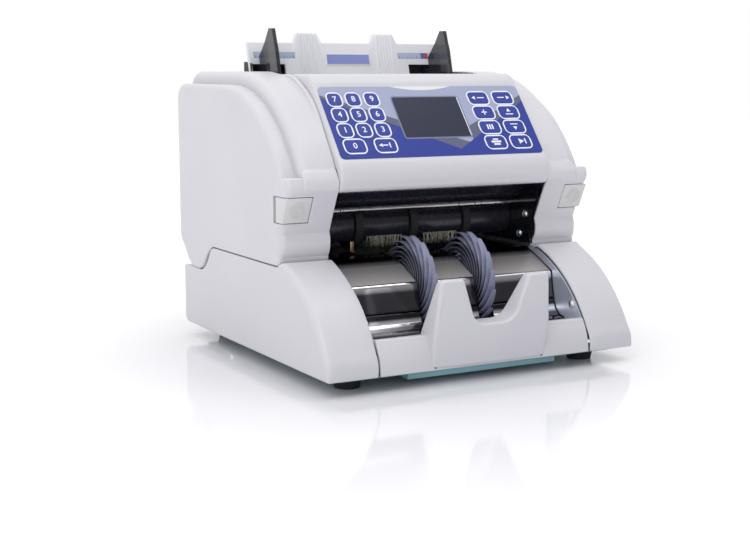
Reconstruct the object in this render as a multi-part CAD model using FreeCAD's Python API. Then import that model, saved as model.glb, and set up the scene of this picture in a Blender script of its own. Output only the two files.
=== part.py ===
import FreeCAD, Part

import math
import os

# Banknote counting machine, modelled in millimetres.
# The frame stands on the table: +Z is up, the front with the stacker faces -Y and +X is the
# operator's right.  The origin is the centre of the footprint, on the table.
# Outlines are drawn in the Y-Z plane and extruded across the machine, along X.

Vec = FreeCAD.Vector
ACROSS = Vec(1, 0, 0)

# ---- overall size ----
half_width = 145.0
rear_y = 157.5
lower_rear_y = 148.3
feet_height = 12.0
wall = 3.0

# ---- the split between the lower unit and the upper unit ----
hinge_y = 121.5
hinge_z = 93.0
seam_lower_z = 88.5
seam_upper_z = 89.5
lobe_radius = 27.0
hook_floor_z = 65.5

# ---- upper unit ----
ear_top_z = 231.5
shoulder_top_z = 242.5
shoulder_half = 131.0
crown_y = 52.5
crown_z = 96.0
brow_z = 166.0
inner_half = 100.5
cover_gap = 0.5

# ---- release buttons on the pillars ----
latch_inner_x = 122.0
latch_z = (124.2, 145.0)
latch_back_y = -49.0
latch_sink = 0.6

# ---- control panel: a plane that leans back, its frame starts at the upper edge ----
panel_top_y = -34.9
panel_top_z = 229.9
panel_tilt = 51.4
panel_length = 72.3
panel_half = 97.3
console_half = 100.2

# ---- keys on the panel: x and distance down the slope of each centre ----
key_rise = 0.5
key_thick = 0.8
key_gap = 0.25
key_corner = 3.4
number_columns = (-85.2, -68.0, -50.8)
function_columns = (53.3, 78.5)
key_rows = (13.4, 28.8, 44.3)
last_row = 59.9
number_size = (11.7, 12.0)
wide_size = (18.0, 12.2)
function_size = (19.0, 12.0)
window_half = 32.0
window_from = 11.8
window_to = 53.0
film_thick = 0.8
film_corner = 4.0
window_corner = 2.0

# ---- stacker ----
wheel_y = -68.5
wheel_z = 66.5
wheel_radius = 42.0
wheel_x = 27.7
wheel_width = 10.0
vane_count = 16
vane_sweep = 112.0
vane_thick = 2.6
hub_radius = 13.0
vane_taper_from = 29.0
slot_side_gap = 2.4
slot_tip_gap = 3.0

# ---- side frames ----
lower_frame_x = 99.0
upper_frame_x = 101.0
sheet = 1.5

# ---- shafts ----
shaft_radius = 4.0
running_gap = 0.05
bush_radius = 6.0
bush_flange_radius = 8.5
foot_screw_radius = 2.2
ring_y = -8.0
ring_z = 113.0
ring_radius = 21.0
ring_places = (-53.5, 0.0, 53.5)
ring_width = 7.0
feed_y = 60.0
feed_z = 206.5
feed_radius = 14.0
feed_places = (-30.0, 30.0)
motor_y = 62.0
motor_z = 42.0
belt_plane_x = -108.0
belt_width = 6.0
motor_pulley_radius = 9.0
stacker_pulley_radius = 15.0

# ---- hopper ----
floor_front = (7.5, 234.5)
floor_back = (80.0, 213.5)
plate_foot = (84.7, 213.0)
plate_head_z = 268.3
tab_head_z = 277.0
tab_foot_x = (25.0, 54.5)
tab_head_x = (29.5, 50.0)
tab_ribs = 6
plate_lean = 0.262
guide_x = 88.0
guide_thick = 3.5
slot_inner = 64.5
slot_outer = 97.0
slot_z = (238.0, 249.0)
pinion_pitch = 6.5
pinion_z = 226.5
rack_y = 103.5


# ---------------------------------------------------------------- small helpers

def outline(start, *steps):
    """A closed face in the Y-Z plane.  A step is a point, or (point on the arc, end point)."""
    edges = []
    here = Vec(0, *start)
    for step in steps:
        if isinstance(step[0], tuple):
            middle = Vec(0, *step[0])
            there = Vec(0, *step[1])
            edges.append(Part.Arc(here, middle, there).toShape())
        else:
            there = Vec(0, *step)
            edges.append(Part.LineSegment(here, there).toShape())
        here = there
    if here.distanceToPoint(Vec(0, *start)) > 1e-6:
        edges.append(Part.LineSegment(here, Vec(0, *start)).toShape())
    return Part.Face(Part.Wire(edges))


def across(face, x_from, x_to):
    moved = face.translated(Vec(x_from, 0, 0))
    return moved.extrude(Vec(x_to - x_from, 0, 0))


def block(x_range, y_range, z_range):
    size = [high - low for low, high in (x_range, y_range, z_range)]
    return Part.makeBox(*size, Vec(x_range[0], y_range[0], z_range[0]))


def rod(radius, x_from, x_to, y, z):
    return Part.makeCylinder(radius, x_to - x_from, Vec(x_from, y, z), ACROSS)


def mirrored(shape):
    return shape.mirror(Vec(0, 0, 0), ACROSS)


def on_circle(centre, radius, degrees):
    angle = math.radians(degrees)
    return (centre[0] + radius * math.cos(angle), centre[1] + radius * math.sin(angle))


def bent_sheet(points, thickness, x_from, x_to, bend=2.0):
    """A sheet that follows the points, its thickness to the left of the walk, with rounded bends."""
    flat = [Vec(0, *point) for point in points]
    sides = []
    for first, second in zip(flat, flat[1:]):
        run = (second - first).normalize()
        sides.append(Vec(0, -run.z, run.y))
    shifted = [flat[0] + sides[0] * thickness]
    for before, after, corner in zip(sides, sides[1:], flat[1:]):
        middle = (before + after).normalize()
        shifted.append(corner + middle * (thickness / middle.dot(before)))
    shifted.append(flat[-1] + sides[-1] * thickness)
    ring = flat + shifted[::-1]
    solid = across(Part.Face(Part.makePolygon(ring + [ring[0]])), x_from, x_to)
    corners = flat[1:-1] + shifted[1:-1]
    return rounded_at(solid, corners, bend) if corners else solid


def rounded_at(solid, corners, radius):
    """Round the edges along X that pass through the given corners of an outline."""
    chosen = []
    for edge in solid.Edges:
        ends = [vertex.Point for vertex in edge.Vertexes]
        if len(ends) < 2 or abs(ends[0].y - ends[1].y) + abs(ends[0].z - ends[1].z) > 1e-4:
            continue
        if any(math.hypot(ends[0].y - at.y, ends[0].z - at.z) < 1e-3 for at in corners):
            chosen.append(edge)
    return solid.makeFillet(radius, chosen)


def on_panel(shape):
    """Put a shape drawn flat, x across and y up the slope, on the control panel."""
    placed = shape.copy()
    turn = FreeCAD.Rotation(ACROSS, panel_tilt)
    placed.Placement = FreeCAD.Placement(Vec(0, panel_top_y, panel_top_z), turn)
    return placed


def rounded_pad(centre_x, down, size, radius, low, high):
    """A pad with round corners, drawn flat for on_panel."""
    width, height = size
    corner = Vec(centre_x - width / 2, -down - height / 2, low)
    pad = Part.makeBox(width, height, high - low, corner)
    upright = [edge for edge in pad.Edges if abs(edge.Vertexes[0].Z - edge.Vertexes[-1].Z) > 1e-6]
    return pad.makeFillet(radius, upright)


def joined(shapes):
    result = shapes[0]
    for shape in shapes[1:]:
        result = result.fuse(shape)
    return result.removeSplitter()


def without(shape, *cutters):
    for cutter in cutters:
        shape = shape.cut(cutter)
    return shape


# ---------------------------------------------------------------- outlines shared by covers

crown = (crown_y, crown_z)
ear_radius = ear_top_z - crown_z
shoulder_radius = shoulder_top_z - crown_z


def crown_point(radius, height):
    """The point at a given height on the front of the crown arc."""
    return (crown_y - math.sqrt(radius ** 2 - (height - crown_z) ** 2), height)


def pillar_steps():
    """The front below the brow: a lip, a hollow and a small foot, down to the seam."""
    return (
        ((-83.0, 157.0), (-79.7, 147.3)),
        ((-71.8, 131.0), (-64.6, 115.5)),
        ((-66.4, 104.0), (-62.5, 93.0)),
        (-57.5, seam_upper_z),
    )


def ear_outline():
    """Outer side of the upper unit, with the round lobe over the hinge at the lower rear."""
    hinge = (hinge_y, hinge_z)
    front_end = crown_point(ear_radius, brow_z - 6.0)
    return outline(
        (rear_y, 98.0),
        (rear_y, ear_top_z - 14.0),
        (on_circle((rear_y - 14.0, ear_top_z - 14.0), 14.0, 45), (rear_y - 14.0, ear_top_z)),
        (crown_y, ear_top_z),
        (on_circle(crown, ear_radius, 120), front_end),
        (-78.5, 160.5),
        ((-81.8, 154.0), (-79.7, 147.3)),
        *pillar_steps()[1:],
        (77.0, seam_upper_z),
        ((87.0, 83.6), (98.7, 71.2)),
        ((107.0, 67.0), (hinge_y, hinge_z - lobe_radius)),
        (on_circle(hinge, lobe_radius, -68), on_circle(hinge, lobe_radius, -45)),
        (149.5, 83.5),
        ((154.8, 88.5), (rear_y, 98.0)),
    )


def shoulder_outline():
    """Section of the upper unit between the ears and the console."""
    return outline(
        (rear_y, 98.0),
        (rear_y, shoulder_top_z - 15.0),
        (on_circle((rear_y - 15.0, shoulder_top_z - 15.0), 15.0, 45),
         (rear_y - 15.0, shoulder_top_z)),
        (crown_y, shoulder_top_z),
        (on_circle(crown, shoulder_radius, 120), crown_point(shoulder_radius, brow_z)),
        *pillar_steps(),
        (70.0, seam_upper_z),
        (70.0, 98.0),
    )


def arch_outline():
    """Outer side of the lower unit, with the arch in front and the hook for the lobe."""
    return outline(
        (lower_rear_y, hook_floor_z),
        (107.0, hook_floor_z),
        ((97.6, 69.2), (84.6, 82.6)),
        ((80.8, 86.6), (75.0, seam_lower_z)),
        (-58.0, seam_lower_z),
        (-64.0, 92.2),
        (-70.5, 92.8),
        ((-109.5, 71.6), (-143.0, 31.0)),
        ((-147.9, 21.5), (-147.0, feet_height)),
        (lower_rear_y - 8.0, feet_height),
        (on_circle((lower_rear_y - 8.0, feet_height + 8.0), 8.0, -45),
         (lower_rear_y, feet_height + 8.0)),
    )


def inset(face, distance):
    return face.makeOffset2D(-distance)


# ---------------------------------------------------------------- lower unit

def base_plate():
    pan = block((-128.0, 128.0), (-134.0, 136.0), (8.5, feet_height - 2.0))
    rib = block((-70.0, 70.0), (-138.0, -128.0), (5.5, feet_height - 2.0))
    walls = [
        block((-96.0, 96.0), (128.0, 129.5), (8.5, 24.0)),
        block((-96.0, 96.0), (-126.0, -124.5), (8.5, 24.0)),
    ]
    plate = joined([pan, rib] + walls)
    vents = []
    for row in range(6):
        y = -40.0 + row * 12.0
        vents.append(block((-30.0, 30.0), (y, y + 4.0), (5.0, 13.0)))
    plate = without(plate, *vents)
    for x, y in foot_places():
        plate = plate.cut(Part.makeCylinder(foot_screw_radius, 20.0, Vec(x, y, 0)))
    return plate


def foot_places():
    return [(x, y) for x in (-112.0, 112.0) for y in (-116.0, 118.0)]


def rubber_feet():
    feet = []
    for x, y in foot_places():
        foot = Part.makeCone(10.0, 12.0, 8.5, Vec(x, y, 0))
        recess = Part.makeCylinder(5.0, 3.4, Vec(x, y, 0))
        bore = Part.makeCylinder(foot_screw_radius, 12.0, Vec(x, y, 0))
        feet.append(without(foot, recess, bore))
    return Part.makeCompound(feet)


def lower_side_cover():
    """Left cover of the lower unit: a shell, open towards the machine and at its foot."""
    face = arch_outline()
    outer = across(face, -half_width, -inner_half)
    hollow = across(inset(face, wall), -half_width + wall, -inner_half + 1.0)
    open_foot = block((-half_width + wall, -90.0), (-140.0, 141.0),
                      (0.0, feet_height + wall + 1.0))
    return without(outer, hollow, open_foot, side_cover_screw_hole())


def side_cover_screw_hole():
    return Part.makeCylinder(3.0, 16.0, Vec(-136.0, lower_rear_y - 8.0, 60.0), Vec(0, 1, 0))


def front_cover():
    """Front skirt with the note stop: two prongs with a finger notch between them."""
    skirt = outline(
        (-137.5, 39.5),
        ((-144.2, 27.0), (-147.2, feet_height)),
        (-144.0, feet_height),
        ((-141.4, 26.0), (-135.6, 36.2)),
        (-113.0, 31.4),
        (-113.0, 34.4),
    )
    shell = across(skirt, -lower_frame_x + 0.2, lower_frame_x - 0.2)
    return joined([shell, note_stop()])


def note_stop():
    """The boss in the middle of the front cover, drawn from the front and cut to its side view."""
    def front_view(shrink):
        half_foot = 53.0 - shrink
        half_head = 50.4 - shrink
        notch_head = 30.9 + shrink
        notch_foot = 19.0 + shrink * 0.6
        head = 84.0 - shrink
        floor = 47.0 - shrink
        foot = feet_height if shrink == 0 else feet_height - 6.0
        right = [(half_foot, foot), (half_foot + 1.5, 40.0), (half_head, head - 6.0),
                 (half_head - 6.0, head), (notch_head + 3.0, head), (notch_head, head - 4.0),
                 (notch_foot + 7.0, floor + 9.0), (notch_foot - 4.0, floor)]
        ring = right + [(-x, z) for x, z in right[::-1]]
        points = [Vec(x, 0, z) for x, z in ring]
        return Part.Face(Part.makePolygon(points + [points[0]]))

    def side_view(shrink):
        head = 84.0
        return outline(
            (-148.0 + shrink, feet_height if shrink == 0 else feet_height - 6.0),
            (-149.2 + shrink, 18.0),
            ((-154.6 + shrink, 45.0), (-157.5 + shrink, head - shrink)),
            (-148.0 - shrink, head - shrink),
            (-128.0 - shrink, 36.0),
            (-128.0 - shrink, feet_height if shrink == 0 else feet_height - 6.0),
        )

    def boss(shrink):
        tall = front_view(shrink).translated(Vec(0, -170.0, 0)).extrude(Vec(0, 60.0, 0))
        return tall.common(across(side_view(shrink), -60.0, 60.0))

    body = boss(0)
    upright = []
    for edge in body.Edges:
        box = edge.BoundBox
        long_enough = box.ZLength > 20.0
        in_front = box.YMax < -146.0
        if long_enough and in_front:
            upright.append(edge)
    body = body.makeFillet(2.5, upright)
    return body.cut(boss(wall))


def rear_cover():
    """Lower rear wall with the barrel that closes the gap under the upper unit's rear wall."""
    hinge = (hinge_y, hinge_z)
    half = inner_half - 3.0
    wall_plate = block((-half, half), (lower_rear_y - wall, lower_rear_y),
                       (feet_height, hook_floor_z))
    shelf = block((-half, half), (126.0, lower_rear_y), (hook_floor_z - wall, hook_floor_z))
    outer = 26.0
    inner = 23.6
    barrel = across(outline(
        on_circle(hinge, outer, -80),
        (on_circle(hinge, outer, 10), on_circle(hinge, outer, 100)),
        on_circle(hinge, inner, 100),
        (on_circle(hinge, inner, 10), on_circle(hinge, inner, -80)),
    ), -half, half)
    foot = block((-half, half), (121.5, 131.0), (hook_floor_z - wall, hook_floor_z + 3.0))
    foot = foot.cut(rod(inner, -half, half, hinge_y, hinge_z))
    cover = joined([wall_plate, shelf, barrel, foot])
    inlet = block((-78.0, -50.0), (140.0, 152.0), (28.0, 48.0))
    switch = block((-44.2, -29.8), (140.0, 152.0), (27.6, 48.4))
    vents = []
    for number in range(8):
        x = 10.0 + number * 9.0
        vents.append(block((x, x + 4.0), (140.0, 152.0), (24.0, 52.0)))
    return without(cover, inlet, switch, *vents)


def lower_frame_outline():
    return outline(
        (-135.0, 13.0),
        (140.0, 13.0),
        (140.0, 84.0),
        (on_circle((hinge_y, hinge_z), 20.5, 90), (102.5, 84.0)),
        (60.0, 84.0),
        (-56.0, 84.0),
        (-62.0, 88.6),
        (-70.0, 89.2),
        ((-107.5, 69.0), (-139.0, 31.0)),
        (-141.0, 24.0),
    )


def lower_side_frames():
    """The two steel side plates that carry the stacker shaft and the hinge pins."""
    plate = across(lower_frame_outline(), lower_frame_x, lower_frame_x + sheet)
    flange = block((lower_frame_x, lower_frame_x + 14.0), (-120.0, 126.0), (11.5, 13.0))
    plate = joined([plate, flange])
    holes = [
        rod(bush_radius, 90.0, 110.0, wheel_y, wheel_z),
        rod(shaft_radius, 90.0, 110.0, hinge_y, hinge_z),
    ]
    holes += [Part.makeCylinder(foot_screw_radius, 20.0, Vec(x, y, 0)) for x, y in foot_places()]
    right = without(plate, *holes)
    left = mirrored(right).cut(rod(11.0, -110.0, -90.0, motor_y, motor_z))
    return Part.makeCompound([left, right])


def stacker_slots():
    """Room for the two vane wheels to turn through the plates."""
    slots = []
    for x in (-wheel_x, wheel_x):
        half = wheel_width / 2 + slot_side_gap
        slots.append(rod(wheel_radius + slot_tip_gap, x - half, x + half, wheel_y, wheel_z))
    return slots


def stacker_upper_plate():
    half = lower_frame_x - 0.3
    points = [(30.0, 86.0), (22.0, 90.5), (-54.0, 90.5), (-92.5, 72.6), (-96.7, 50.8)]
    plate = bent_sheet(points, 1.0, -half, half, bend=3.0)
    return without(plate, *stacker_slots())


def stacker_lower_plate():
    half = lower_frame_x - 0.3
    points = [(-88.5, 50.0), (-97.0, 50.0), (-99.5, 42.0), (-105.5, 36.8), (-112.6, 35.4)]
    plate = bent_sheet(points, 1.0, -half, half, bend=2.5)
    return without(plate, *stacker_slots())


def vane_outline(start_degrees):
    """One curved vane: it leaves the hub and trails the turn of the wheel."""
    centre = (wheel_y, wheel_z)
    reach = wheel_radius - hub_radius + 2.0
    front = []
    back = []
    steps = 6
    for step in range(steps + 1):
        part = step / steps
        radius = hub_radius - 2.0 + reach * part
        lean = start_degrees - vane_sweep * part ** 0.85
        half_turn = math.degrees(vane_thick * (1.15 - 0.45 * part) / radius)
        front.append(on_circle(centre, radius, lean - half_turn))
        back.append(on_circle(centre, radius, lean + half_turn))
    curve_front = Part.BSplineCurve()
    curve_front.interpolate([Vec(0, *point) for point in front])
    curve_back = Part.BSplineCurve()
    curve_back.interpolate([Vec(0, *point) for point in back])
    ends = [Part.LineSegment(Vec(0, *front[-1]), Vec(0, *back[-1])).toShape(),
            Part.LineSegment(Vec(0, *back[0]), Vec(0, *front[0])).toShape()]
    return Part.Face(Part.Wire([curve_front.toShape(), ends[0], curve_back.toShape(), ends[1]]))


def stacker_wheels():
    """Two soft wheels with sixteen curved vanes, whose tips narrow to half the width."""
    half = wheel_width / 2
    taper = Part.makePolygon([
        Vec(-half, 0, 0), Vec(half, 0, 0), Vec(half, 0, vane_taper_from),
        Vec(half / 2, 0, wheel_radius), Vec(-half / 2, 0, wheel_radius),
        Vec(-half, 0, vane_taper_from), Vec(-half, 0, 0)])
    body = Part.Face(taper).revolve(Vec(0, 0, 0), ACROSS, 360)
    body.translate(Vec(0, wheel_y, wheel_z))
    pieces = [rod(hub_radius, -half, half, wheel_y, wheel_z)]
    for number in range(vane_count):
        pieces.append(across(vane_outline(number * 360.0 / vane_count + 4.0), -half, half))
    wheel = pieces[0].multiFuse(pieces[1:]).common(body)
    wheel = wheel.cut(rod(shaft_radius, -half, half, wheel_y, wheel_z))
    return Part.makeCompound([wheel.translated(Vec(x, 0, 0)) for x in (-wheel_x, wheel_x)])


def grooved_pulley(radius, y, z):
    """A pulley in the belt's plane, with a flange on either side of the belt."""
    flange = 1.0
    x_from = belt_plane_x - belt_width / 2 - 0.5
    x_to = belt_plane_x + belt_width / 2 + 0.5
    return joined([
        rod(radius, x_from, x_to, y, z),
        rod(radius + 2.0, x_from - flange, x_from, y, z),
        rod(radius + 2.0, x_to, x_to + flange, y, z),
    ])


def stacker_shaft():
    shaft = rod(shaft_radius, belt_plane_x - 5.0, lower_frame_x + 5.0, wheel_y, wheel_z)
    pulley = grooved_pulley(stacker_pulley_radius, wheel_y, wheel_z)
    collars = []
    for x in (-wheel_x, wheel_x):
        for side in (-1, 1):
            edge = x + side * wheel_width / 2
            low, high = sorted((edge, edge + side * 4.0))
            collars.append(rod(7.5, low, high, wheel_y, wheel_z))
    return joined([shaft, pulley] + collars)


def drive_motor():
    can = rod(24.0, -90.0, -34.0, motor_y, motor_z)
    cap = rod(19.0, -34.0, -29.0, motor_y, motor_z)
    nose = rod(9.0, -97.5, -90.0, motor_y, motor_z)
    foot = block((-88.0, -36.0), (motor_y - 20.0, motor_y + 20.0),
                 (feet_height - 2.0, motor_z - 15.0))
    terminal = block((-46.0, -36.0), (motor_y + 20.0, motor_y + 28.0),
                     (motor_z - 6.0, motor_z + 6.0))
    body = joined([can, cap, nose, foot, terminal])
    return body.cut(rod(3.0 + running_gap, -98.0, -80.0, motor_y, motor_z))


def motor_pulley():
    shaft = rod(3.0, belt_plane_x - 5.0, -80.0, motor_y, motor_z)
    pulley = grooved_pulley(motor_pulley_radius, motor_y, motor_z)
    return joined([shaft, pulley])


def drive_belt():
    """A flat belt, tangent to both pulleys and just clear of their faces."""
    def loop(offset):
        small = motor_pulley_radius + offset
        large = stacker_pulley_radius + offset
        span_y = motor_y - wheel_y
        span_z = motor_z - wheel_z
        length = math.hypot(span_y, span_z)
        line = math.degrees(math.atan2(span_z, span_y))
        open_angle = math.degrees(math.acos((large - small) / length))
        motor = (motor_y, motor_z)
        wheel = (wheel_y, wheel_z)
        return outline(
            on_circle(wheel, large, line + open_angle),
            (on_circle(wheel, large, line + 180), on_circle(wheel, large, line - open_angle)),
            on_circle(motor, small, line - open_angle),
            (on_circle(motor, small, line), on_circle(motor, small, line + open_angle)),
        )
    x_from = belt_plane_x - belt_width / 2
    x_to = belt_plane_x + belt_width / 2
    return across(loop(1.7), x_from, x_to).cut(across(loop(0.35), x_from, x_to))


def flanged_bush(frame_x, y, z):
    """A bush in a side plate on the right, with its flange outside the plate."""
    body = rod(bush_radius, frame_x, frame_x + sheet, y, z)
    flange = rod(bush_flange_radius, frame_x + sheet, frame_x + sheet + 1.5, y, z)
    bore = rod(shaft_radius + running_gap, frame_x, frame_x + 4.0, y, z)
    return joined([body, flange]).cut(bore)


def bush_pairs(frame_x, places):
    bushes = []
    for y, z in places:
        bush = flanged_bush(frame_x, y, z)
        bushes += [mirrored(bush), bush]
    return Part.makeCompound(bushes)


def pan_head_screw(x, y, z, direction):
    """A cross-slotted screw; its head stands out along the given X direction."""
    axis = Vec(direction, 0, 0)
    head = Part.makeSphere(4.2, Vec(x - direction * 1.4, y, z))
    head = head.common(Part.makeCylinder(3.6, 3.0, Vec(x, y, z), axis))
    slots = [
        block((x - 3.0, x + 3.0), (y - 2.0, y + 2.0), (z - 0.35, z + 0.35)),
        block((x - 3.0, x + 3.0), (y - 0.35, y + 0.35), (z - 2.0, z + 2.0)),
    ]
    deep = Part.makeCylinder(4.0, 1.4, Vec(x + direction * 1.6, y, z), axis)
    return head.cut(joined(slots).common(deep))


def frame_screws():
    screws = []
    for y, z in ((-122.0, 48.3), (-118.0, 25.0), (20.0, 25.0), (100.0, 25.0), (-30.0, 76.0)):
        screws.append(pan_head_screw(lower_frame_x, y, z, -1))
    screws += [mirrored(screw) for screw in screws]
    for x, y in foot_places():
        screws.append(Part.makeCylinder(2.0, 9.0, Vec(x, y, 3.2)))
        screws.append(Part.makeCylinder(4.0, 1.2, Vec(x, y, 2.0)))
    return Part.makeCompound(screws)


def hinge_pins():
    pin = joined([
        rod(shaft_radius, lower_frame_x - 3.0, upper_frame_x + 6.0, hinge_y, hinge_z),
        rod(7.0, lower_frame_x - 5.0, lower_frame_x, hinge_y, hinge_z),
    ])
    return Part.makeCompound([mirrored(pin), pin])


def power_supply():
    case = block((10.0, 90.0), (20.0, 110.0), (feet_height - 2.0, 44.0))
    vents = [block((20.0, 80.0), (30.0 + i * 9.0, 34.0 + i * 9.0), (43.0, 46.0)) for i in range(8)]
    terminal = block((12.0, 40.0), (110.0, 118.0), (14.0, 24.0))
    return joined([without(case, *vents), terminal])


def power_inlet():
    """Three-pin appliance inlet in the rear wall; its face stands 1.5 mm proud."""
    body = block((-77.5, -50.5), (124.0, lower_rear_y), (28.5, 47.5))
    lip = block((-80.0, -48.0), (lower_rear_y, lower_rear_y + 1.5), (26.0, 50.0))
    well = block((-75.5, -52.5), (lower_rear_y - 15.0, lower_rear_y + 2.0), (30.5, 45.5))
    pins = []
    for x, z in ((-71.0, 36.0), (-64.0, 40.0), (-57.0, 36.0)):
        pins.append(block((x - 1.0, x + 1.0), (lower_rear_y - 16.0, lower_rear_y - 2.0),
                          (z - 2.0, z + 2.0)))
    return joined([joined([body, lip]).cut(well)] + pins)


def power_rocker():
    """Rocker of the mains switch: a shallow wedge on a pivot along X."""
    face = outline(
        (lower_rear_y - 7.0, 29.5),
        (lower_rear_y + 2.2, 29.5),
        ((lower_rear_y + 0.2, 38.0), (lower_rear_y + 0.2, 46.5)),
        (lower_rear_y - 7.0, 46.5),
    )
    return across(face, -43.5, -30.5)


# ---------------------------------------------------------------- upper unit

def upper_side_cover_solid():
    """Outer solid of the left cover: the ear and the higher shoulder beside it."""
    ear = across(ear_outline(), -half_width, -shoulder_half)
    return ear.fuse(across(shoulder_outline(), -shoulder_half, -inner_half))


def latch_box(clearance, back_y):
    """The room of the left button, or of the recess round it with a clearance."""
    return block((-half_width - 3.0, -latch_inner_x + clearance), (-95.0, back_y),
                 (latch_z[0] - clearance, latch_z[1] + clearance))


def upper_side_cover():
    outer = upper_side_cover_solid()
    hollow_ear = across(inset(ear_outline(), wall), -half_width + wall, -shoulder_half + 1.0)
    hollow_shoulder = across(inset(shoulder_outline(), wall), -shoulder_half - 1.0 + wall,
                             -inner_half + 1.0)
    bridge = across(inset(ear_outline(), wall), -shoulder_half - 0.5, -shoulder_half + wall + 1.0)
    open_foot = block((-half_width + wall, -inner_half + 1.0), (-55.0, 80.0), (80.0, 100.0))
    behind = block((-shoulder_half + wall, -inner_half + 1.0), (60.0, rear_y - wall),
                   (80.0, 130.0))
    return without(outer, hollow_ear, hollow_shoulder, bridge, open_foot, behind,
                   latch_box(cover_gap, latch_back_y))


def latch_button():
    """Left release button: a slice of the pillar, with a stem that lifts the hook."""
    slice_of_ear = upper_side_cover_solid().common(latch_box(0.0, latch_back_y - 8.0))
    stem = block((-131.0, -125.0), (-58.0, -40.0), (131.0, 138.0))
    button = slice_of_ear.fuse(stem).removeSplitter()
    button.translate(Vec(0, -latch_sink, 0))
    return button


def console_outline(shrink=0.0):
    tilt = math.radians(panel_tilt)
    down = (-math.cos(tilt), -math.sin(tilt))
    foot = (panel_top_y + down[0] * panel_length, panel_top_z + down[1] * panel_length)
    return outline(
        (4.0, 240.5),
        (-22.0, 240.5),
        ((-29.5, 237.2), (panel_top_y, panel_top_z)),
        foot,
        ((-86.0, 161.0), (-82.0, 149.8)),
        (-76.0, 147.5),
        (-40.0, 150.0),
        (4.0, 150.0),
    )


def console_cover():
    """Raised housing of the control panel, a shell that is open below and behind."""
    face = console_outline()
    outer = across(face, -console_half, console_half)
    hollow = across(inset(face, wall), -console_half + wall, console_half - wall)
    open_back = block((-console_half + wall, console_half - wall), (-70.0, 5.0), (140.0, 160.0))
    behind = block((-console_half + wall, console_half - wall), (0.0, 5.0), (140.0, 237.5))
    skirt_sides = block((-console_half - 1.0, console_half + 1.0), (-60.0, 5.0), (140.0, 205.0))
    return without(outer, hollow, open_back, behind, skirt_sides)


def key_layout():
    """Name, centre and size of every key on the panel."""
    keys = []
    numbers = ((7, 8, 9), (4, 5, 6), (1, 2, 3))
    for row, down in zip(numbers, key_rows):
        for number, x in zip(row, number_columns):
            keys.append((f"key_{number}", x, down, number_size))
    keys.append(("key_0", -81.5, last_row, wide_size))
    keys.append(("key_clear", -53.4, last_row, wide_size))
    names = (("key_left", "key_right"), ("key_add", "key_up"), ("key_set", "key_down"),
             ("key_print", "key_start"))
    for row, down in zip(names, key_rows + (last_row,)):
        for name, x in zip(row, function_columns):
            keys.append((name, x, down, function_size))
    return keys


def keypad_overlay():
    """The printed film of the panel, with a hole round every key and round the window."""
    size = (2 * panel_half, panel_length - 0.8)
    film = rounded_pad(0.0, panel_length / 2, size, film_corner, 0.0, film_thick)
    cutters = []
    for key in key_layout():
        x, down, key_size = key[1:]
        hole_size = (key_size[0] + 2 * key_gap, key_size[1] + 2 * key_gap)
        cutters.append(rounded_pad(x, down, hole_size, key_corner + key_gap, -1.0, 2.0))
    window_size = (2 * window_half, window_to - window_from)
    cutters.append(rounded_pad(0.0, (window_from + window_to) / 2, window_size, window_corner,
                               -1.0, 2.0))
    return on_panel(without(film, *cutters))


def display_window():
    size = (2 * window_half - 0.3, window_to - window_from - 0.3)
    middle = (window_from + window_to) / 2
    return on_panel(rounded_pad(0.0, middle, size, window_corner - 0.2, 0.0, 1.0))


def control_board():
    """Circuit board behind the panel, with the display module and a few parts on its back."""
    board = Part.makeBox(180.0, 62.0, 1.6, Vec(-90.0, -67.0, -9.0))
    module = Part.makeBox(72.0, 46.0, 4.2, Vec(-36.0, -56.0, -7.4))
    parts = []
    for number in range(4):
        parts.append(Part.makeBox(18.0, 18.0, 2.0, Vec(-60.0 + number * 40.0, -50.0, -11.0)))
    header = Part.makeBox(30.0, 6.0, 7.0, Vec(-15.0, -64.0, -16.0))
    return on_panel(joined([board, module, header] + parts))


def key_cap(x, down, size):
    top = key_rise + key_thick
    pad = rounded_pad(x, down, size, key_corner, key_rise, top)
    crest = [edge for edge in pad.Edges if edge.BoundBox.ZMin > top - 1e-4]
    return on_panel(pad.makeFillet(0.4, crest))


def lean_point(height, behind=0.0):
    """A point on the front face of the hopper's back plate, or some way behind it."""
    return (plate_foot[0] + (height - plate_foot[1]) * plate_lean + behind, height)


def back_plate_slab(z_from, z_to, x_from, x_to, front=0.0, back=3.0):
    face = outline(
        lean_point(z_from, front),
        lean_point(z_to, front),
        lean_point(z_to, back),
        lean_point(z_from, back),
    )
    return across(face, x_from, x_to)


def hopper_tab(side):
    """One tab on the head of the back plate, narrower at its top."""
    corners = [(tab_foot_x[0], plate_head_z - 0.5), (tab_head_x[0], tab_head_z),
               (tab_head_x[1], tab_head_z), (tab_foot_x[1], plate_head_z - 0.5)]
    points = [Vec(side * x, 0, z) for x, z in corners]
    front_view = Part.Face(Part.makePolygon(points + [points[0]]))
    prism = front_view.translated(Vec(0, 60.0, 0)).extrude(Vec(0, 80.0, 0))
    slab = back_plate_slab(plate_head_z - 1.0, tab_head_z + 1.0, -60.0, 60.0)
    return prism.common(slab)


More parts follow.
